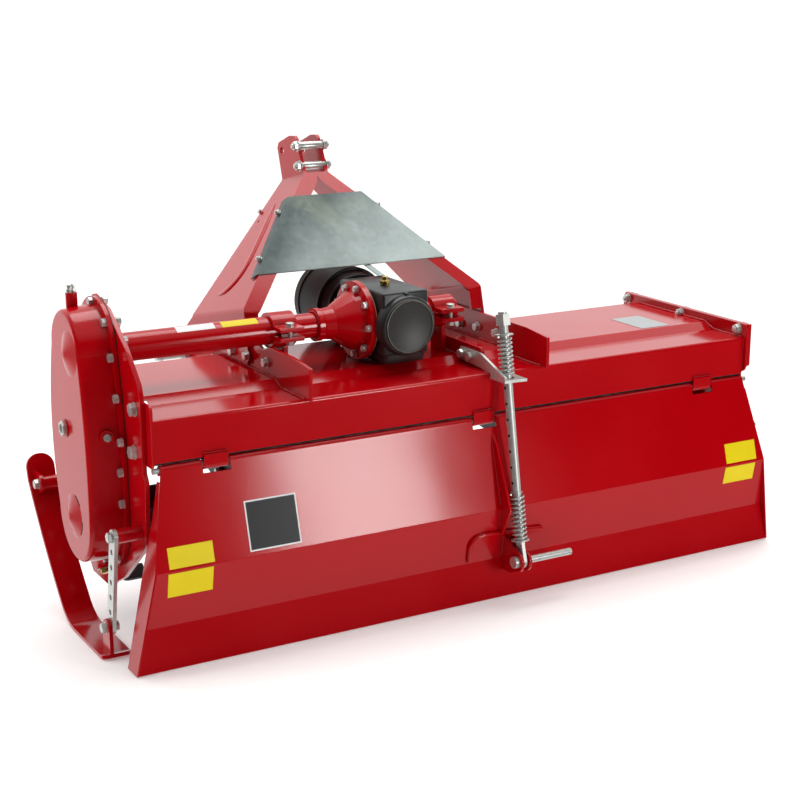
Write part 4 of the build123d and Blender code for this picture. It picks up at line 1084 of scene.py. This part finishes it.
flange_thick, flange_count, tines_a_side = 8.0, 7, 3
rotor_start, rotor_end = 12.0, hood_width - 12.0
pitch = (rotor_end - rotor_start - flange_thick - 20) / (flange_count - 1)
tine_bolts = []
for index in range(flange_count):
    station = rotor_start + 10 + pitch * index
    for way in (-1, 1):
        if (index == 0 and way < 0) or (index == flange_count - 1 and way > 0):
            continue
        face_x = station - 8.0 if way < 0 else station + flange_thick + 8.0
        for blade in range(tines_a_side):
            turn = math.radians(360 / tines_a_side * blade + 60 * (way > 0) + 17 * index)
            for offset in (-9.5, 9.5):
                y = rotor_y + 60.0 * math.cos(turn) - offset * math.sin(turn)
                z = rotor_z + 60.0 * math.sin(turn) + offset * math.cos(turn)
                tine_bolts.append((spot(face_x, y, z), LEFT if way < 0 else RIGHT))
tine_head = hex_head(15.0, 6.0, 17.0)
fasteners("tine_bolts", tine_head, tine_bolts, body="rotor")

# right bearing: a turned housing held by four bolts
finished_plate("rotor_bearing_right", 1.5)
bearing_face = 1525.0
fasteners("rotor_bearing_bolts", tine_head, bolt_circle(4, 45, 53, bearing_face, rotor_y, rotor_z, RIGHT))

# ---- Hinge of the tail board -----------------------------------------------------------------------
# A 12 mm zinc plated rod runs the width of the hood through three welded straps.
# The straps are bent from 4 mm sheet.
finished_plate("hinge_tabs", 0.7)
repaint("hinge_rod", zinc)
tab_width = 52.0
for index, station in enumerate((132.0, 764.0, 1375.0)):
    weld_bead(f"hinge_tab_weld_{index}", spot(station - tab_width / 2, -3.4, 9.0),
              spot(station + tab_width / 2, -3.4, 9.0), width=4.0, pitch=2.6)

# painted shade: a black strip inside the hood's rear edge fills the slot above the board's curl, where the gap
# lies in shade
slot_shade_black = bpy.data.materials.new("black_painted_shade_strip")
slot_shade_black.use_nodes = True
slot_shade_black.node_tree.nodes["Principled BSDF"].inputs["Base Color"].default_value = linear("#131313")
slot_shade_black.node_tree.nodes["Principled BSDF"].inputs["Roughness"].default_value = 0.7
strip_low, strip_high = spot(3.0, 4.3, -4.6), spot(hood_width - 3.0, 6.8, 16.0)
bpy.ops.object.select_all(action="DESELECT")
bpy.ops.mesh.primitive_cube_add(size=1.0, location=(strip_low + strip_high) / 2)
strip = bpy.context.active_object
strip.scale = strip_high - strip_low
bpy.ops.object.transform_apply(location=False, rotation=False, scale=True)
rounded_edges(strip, 0.6, segments=2, angle=40.0)
finish_piece(strip, "hinge_slot_painted_shade", "frame", slot_shade_black)

# ---- Tail board ------------------------------------------------------------------------------------
# One 4 mm sheet: curled round the rod, pressed to two bends and folded forward at its ends.
# The rib and the lugs are welded on. The lugs have a bent-bar brace behind them.
finished_plate("tail_board", 0.9, body="tail_board")
finished_plate("tail_rib", 1.0, body="tail_board")
finished_plate("tail_lugs", 1.0, body="tail_board")
board_top, bend_1, bend_2, board_foot = (-4.5, -16.0), (-58.0, -204.0), (-35.5, -325.5), (-46.0, -415.0)


def board_spot(upper, lower, x, z, out=0.0):
    """Point on the board's rear face between two bends, out mm clear of it."""
    share = (upper[1] - z) / (upper[1] - lower[1])
    y = upper[0] + share * (lower[0] - upper[0])
    slant = math.hypot(lower[0] - upper[0], upper[1] - lower[1])
    rear = (upper[1] - lower[1]) / slant
    up = (upper[0] - lower[0]) / slant
    return spot(x, y - rear * out, z + up * out)


rib_left, rib_right = 778.0, 784.0
for side, x in (("left", rib_left), ("right", rib_right)):
    weld_bead(f"tail_rib_weld_upper_{side}", board_spot(board_top, bend_1, x, -52.0),
              board_spot(board_top, bend_1, x, -198.0),
              width=6.0, body="tail_board")
    weld_bead(f"tail_rib_weld_lower_{side}", board_spot(bend_1, bend_2, x, -208.0),
              board_spot(bend_1, bend_2, x, -258.0),
              width=6.0, body="tail_board")
for side, x in (("left", 795.0), ("right", 821.0)):
    weld_bead(f"tail_lug_weld_{side}", board_spot(bend_1, bend_2, x, -274.0),
              board_spot(bend_1, bend_2, x, -322.0),
              width=6.0, body="tail_board")

# brace: 10 mm round bar, its left leg turned down beside the lugs
brace_line = ((706.6, -319.0), (705.0, -290.0), (707.0, -272.0), (722.0, -261.0), (750.0, -258.5),
              (778.0, -262.0),
              (850.0, -264.6), (890.0, -268.0))
bpy.ops.object.select_all(action="DESELECT")
bpy.ops.curve.primitive_nurbs_path_add(location=(0, 0, 0))
brace = bpy.context.active_object
spline = brace.data.splines[0]
spline.points.add(len(brace_line) - len(spline.points))
for point, (x, z) in zip(spline.points, brace_line):
    point.co = (*board_spot(bend_1, bend_2, x, z, 3.5), 1.0)
spline.order_u = 3
spline.use_endpoint_u = True
brace.data.bevel_depth = 0.005
brace.data.bevel_resolution = 5
brace.data.use_fill_caps = True
bpy.ops.object.convert(target="MESH")
finish_piece(bpy.context.active_object, "tail_brace", "tail_board", powder_red, smooth=60.0)

# clevis pin: zinc plated, hexagon headed, and long on the right
repaint("clevis_pin", zinc)

# ---- Spring rod ------------------------------------------------------------------------------------
# Zinc plated rod with drilled holes for the springs' pins. Two compression springs act on it:
# the upper one on the bracket, the lower one on a washer at the foot.
rod_x, rod_pin, rod_guide = 808.0, (-97.0, -318.0), (-28.0, 80.0)
rod_lean = math.atan2(rod_guide[0] - rod_pin[0], rod_guide[1] - rod_pin[1])
# the rod's zinc is barrel plated and dull, with no bright passivation
dull_zinc = zinc.copy()
dull_zinc.name = "dull_zinc_on_drawn_rod"
dull_zinc.node_tree.nodes["Map Range"].inputs["To Min"].default_value = 0.36
dull_zinc.node_tree.nodes["Map Range"].inputs["To Max"].default_value = 0.52
finished_plate("spring_rod", 0.8, body="spring_rod", material=dull_zinc)


def on_rod(s):
    """Point s mm up the rod from its pin."""
    return spot(rod_x, rod_pin[0] + s * math.sin(rod_lean), rod_pin[1] + s * math.cos(rod_lean))


rod_way = Vector((0, math.sin(rod_lean), math.cos(rod_lean)))
spring_radius, spring_wire = 14.5, 4.5
guide_s = math.dist(rod_pin, rod_guide)
springs = (("upper", guide_s + 3.0 / math.cos(rod_lean) + 3.2, 496.7, 9), ("lower", 49.0, 151.7, 10))
for name, start, end, turns in springs:
    bpy.ops.object.select_all(action="DESELECT")
    bpy.ops.mesh.primitive_circle_add(vertices=12, radius=spring_wire / 2000,
                                      location=(spring_radius / 1000, 0, 0),
                                      rotation=(math.radians(90), 0, 0))
    coil = bpy.context.active_object
    bpy.ops.object.transform_apply(location=True, rotation=True, scale=True)
    wind = coil.modifiers.new("wind", "SCREW")
    wind.axis = "Z"
    wind.iterations = turns
    wind.screw_offset = (end - start - spring_wire) / turns / 1000
    wind.steps = 32
    wind.render_steps = 32
    bpy.ops.object.modifier_apply(modifier=wind.name)
    bpy.ops.object.mode_set(mode="EDIT")
    bpy.ops.mesh.select_all(action="SELECT")
    bpy.ops.mesh.fill_holes(sides=12)
    bpy.ops.mesh.normals_make_consistent(inside=False)
    bpy.ops.object.mode_set(mode="OBJECT")
    set_at(coil, on_rod(start + spring_wire / 2), rod_way)
    finish_piece(coil, f"{name}_spring_coiled", "spring_rod", zinc, smooth=60.0)
    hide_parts(name + "_spring")

# drilled holes along the rod's left side, drawn as dark cylinders of painted shade through the rod
hole_painted_shade = bpy.data.materials.new("drilled_steel_in_shadow")
hole_painted_shade.use_nodes = True
hole_painted_shade.node_tree.nodes["Principled BSDF"].inputs["Base Color"].default_value = (0.006, 0.006, 0.006, 1.0)
hole_painted_shade.node_tree.nodes["Principled BSDF"].inputs["Roughness"].default_value = 0.9
holes = []
first_hole, hole_pitch = 175.0, 34.8
for index in range(7):
    bpy.ops.object.select_all(action="DESELECT")
    bpy.ops.mesh.primitive_cylinder_add(vertices=16, radius=0.003, depth=0.0204)
    hole = bpy.context.active_object
    bpy.ops.object.shade_smooth_by_angle(angle=math.radians(30))
    set_at(hole, on_rod(first_hole + hole_pitch * index), (1, 0.24, 0))
    holes.append(hole)
# the spare hole in the left arm is a thin dark disc of painted shade on its face
bpy.ops.object.select_all(action="DESELECT")
bpy.ops.mesh.primitive_cylinder_add(vertices=20, radius=0.003, depth=0.0004,
                                    location=arm_face(*clip_hole, "left", 0.15),
                                    rotation=arm_outward("left").to_track_quat("Z", "Y").to_euler())
finish_piece(bpy.context.active_object, "mast_arm_clip_hole", "frame", hole_painted_shade, smooth=0)
finish_piece(join(holes), "spring_rod_holes", "spring_rod", hole_painted_shade, smooth=0)

# ---- Blank plates ----------------------------------------------------------------------------------
# Thin self-adhesive sheet where plates and signs sit on the board, tube and deck. Nothing is
# printed on them.
fade_size = 0.04
sheet_yellow, sheet_black, sheet_white, sheet_silver = [
    mottled(name, code, None, 1 / fade_size, fixed={"Roughness": rough, "Specular IOR Level": 0.25})
    for name, code, rough in (("yellow_vinyl_sheet", "#e6cf00", 0.4),
                              ("black_vinyl_sheet", "#141416", 0.35),
                              ("white_vinyl_sheet", "#ececec", 0.4), ("silver_polyester_sheet", "#a9adad",
                                                                      0.35))]


def blank_sheet(name, low_left, low_right, up_left, material, body, thick=0.3, out=0.0):
    """A thin sheet on the parallelogram from three of its corners."""
    across, rise = low_right - low_left, up_left - low_left
    face = across.cross(rise).normalized()
    bpy.ops.object.select_all(action="DESELECT")
    bpy.ops.mesh.primitive_cube_add(size=1.0, location=(0, 0, 0))
    sheet = bpy.context.active_object
    sheet.matrix_world = Matrix((
        (*(across.normalized() * across.length),), (*(rise.normalized() * rise.length),),
        (*(face * (thick / 1000)),))).transposed().to_4x4()
    bpy.ops.object.transform_apply(location=True, rotation=True, scale=True)
    pick(sheet)
    bpy.ops.transform.translate(value=(low_left + (across + rise) / 2 + face * ((thick / 2 + out) / 1000)))
    return finish_piece(sheet, name, body, material)


for side, x_low, x_high, top, foot in (("left", 4.0, 100.0, -159.0, -261.0),
                                       ("right", 1418.0, 1510.0, -155.0, -251.0)):
    blank_sheet(f"blank_yellow_{side}_upper", board_spot(board_top, bend_1, x_low, -200.0, 0.2),
                board_spot(board_top, bend_1, x_high, -200.0, 0.2), board_spot(board_top, bend_1, x_low,
                                                                               top, 0.2),
                sheet_yellow, "tail_board")
    blank_sheet(f"blank_yellow_{side}_lower", board_spot(bend_1, bend_2, x_low - 3, foot, 0.2),
                board_spot(bend_1, bend_2, x_high - 3, foot, 0.2), board_spot(bend_1, bend_2, x_low - 3,
                                                                              -209.0, 0.2),
                sheet_yellow, "tail_board")
for name, material, inset, out in (("white", sheet_white, 0.0, 0.2), ("black", sheet_black, 3.0, 0.4)):
    blank_sheet("blank_plate_" + name, board_spot(board_top, bend_1, 178.0 + inset, -195.0 + inset, out),
                board_spot(board_top, bend_1, 293.0 - inset, -195.0 + inset, out),
                board_spot(board_top, bend_1, 178.0 + inset, -96.0 - inset,
                           out), material, "tail_board")
# silver sheet flat on the deck, and two small ones wrapped on the tube's top
blank_sheet("blank_silver_deck", spot(1310, 146, 102.3), spot(1394, 146, 102.3), spot(1310, 270, 102.3),
            sheet_silver,
            "frame")
tube_front = Vector((0, -math.cos(math.radians(66)), math.sin(math.radians(66))))
for name, start, end, material in (("white", 133.0, 218.0, sheet_white),
                                   ("yellow", 234.0, 316.0, sheet_yellow)):
    bpy.ops.object.select_all(action="DESELECT")
    bpy.ops.mesh.primitive_cylinder_add(vertices=96, radius=0.0303, depth=(end - start) / 1000)
    wrap = bpy.context.active_object
    edit_faces(wrap, lambda normal: abs(normal.z) > 0.9 or normal.x < math.cos(math.radians(19)))
    bpy.ops.mesh.delete(type="FACE")
    bpy.ops.object.mode_set(mode="OBJECT")
    sheet_depth = wrap.modifiers.new("sheet", "SOLIDIFY")
    sheet_depth.thickness = 0.0002
    bpy.ops.object.modifier_apply(modifier=sheet_depth.name)
    out_way, along = tube_front, Vector((1, 0, 0))
    turn = Matrix((out_way, along.cross(out_way), along)).transposed().to_4x4()
    wrap.matrix_world = Matrix.Translation(spot((start + end) / 2, shaft_y, shaft_z)) @ turn
    finish_piece(wrap, f"blank_{name}_tube", "frame", material)

# ---- Welds along the hood -------------------------------------------------------------------------
# The end plates are welded to the hood's sheet along its wall and its deck, and the coat runs
# over the beads.
for side, x in (("left", 0.8), ("right", hood_width - 0.8)):
    inner = x + (1.5 if side == "left" else -1.5)
    weld_bead(f"end_weld_wall_{side}", spot(x, -0.5, 6), spot(x, -0.5, 82), width=5.0)
    weld_bead(f"end_weld_step_{side}", spot(inner, 8, 88.5), spot(inner, 104, 88.5), width=9.0)
    weld_bead(f"end_weld_rise_{side}", spot(inner, 106, 89.5), spot(inner, 140, 103), width=9.0)
    weld_bead(f"end_weld_deck_{side}", spot(inner, 142, 103), spot(inner, 405, 103), width=9.0)
for pattern in (m16_head, m12_head, m12_lock_nut, m10_head, m10_nut, m8_head, m8_nut, skid_head, tine_head):
    scrap(pattern)
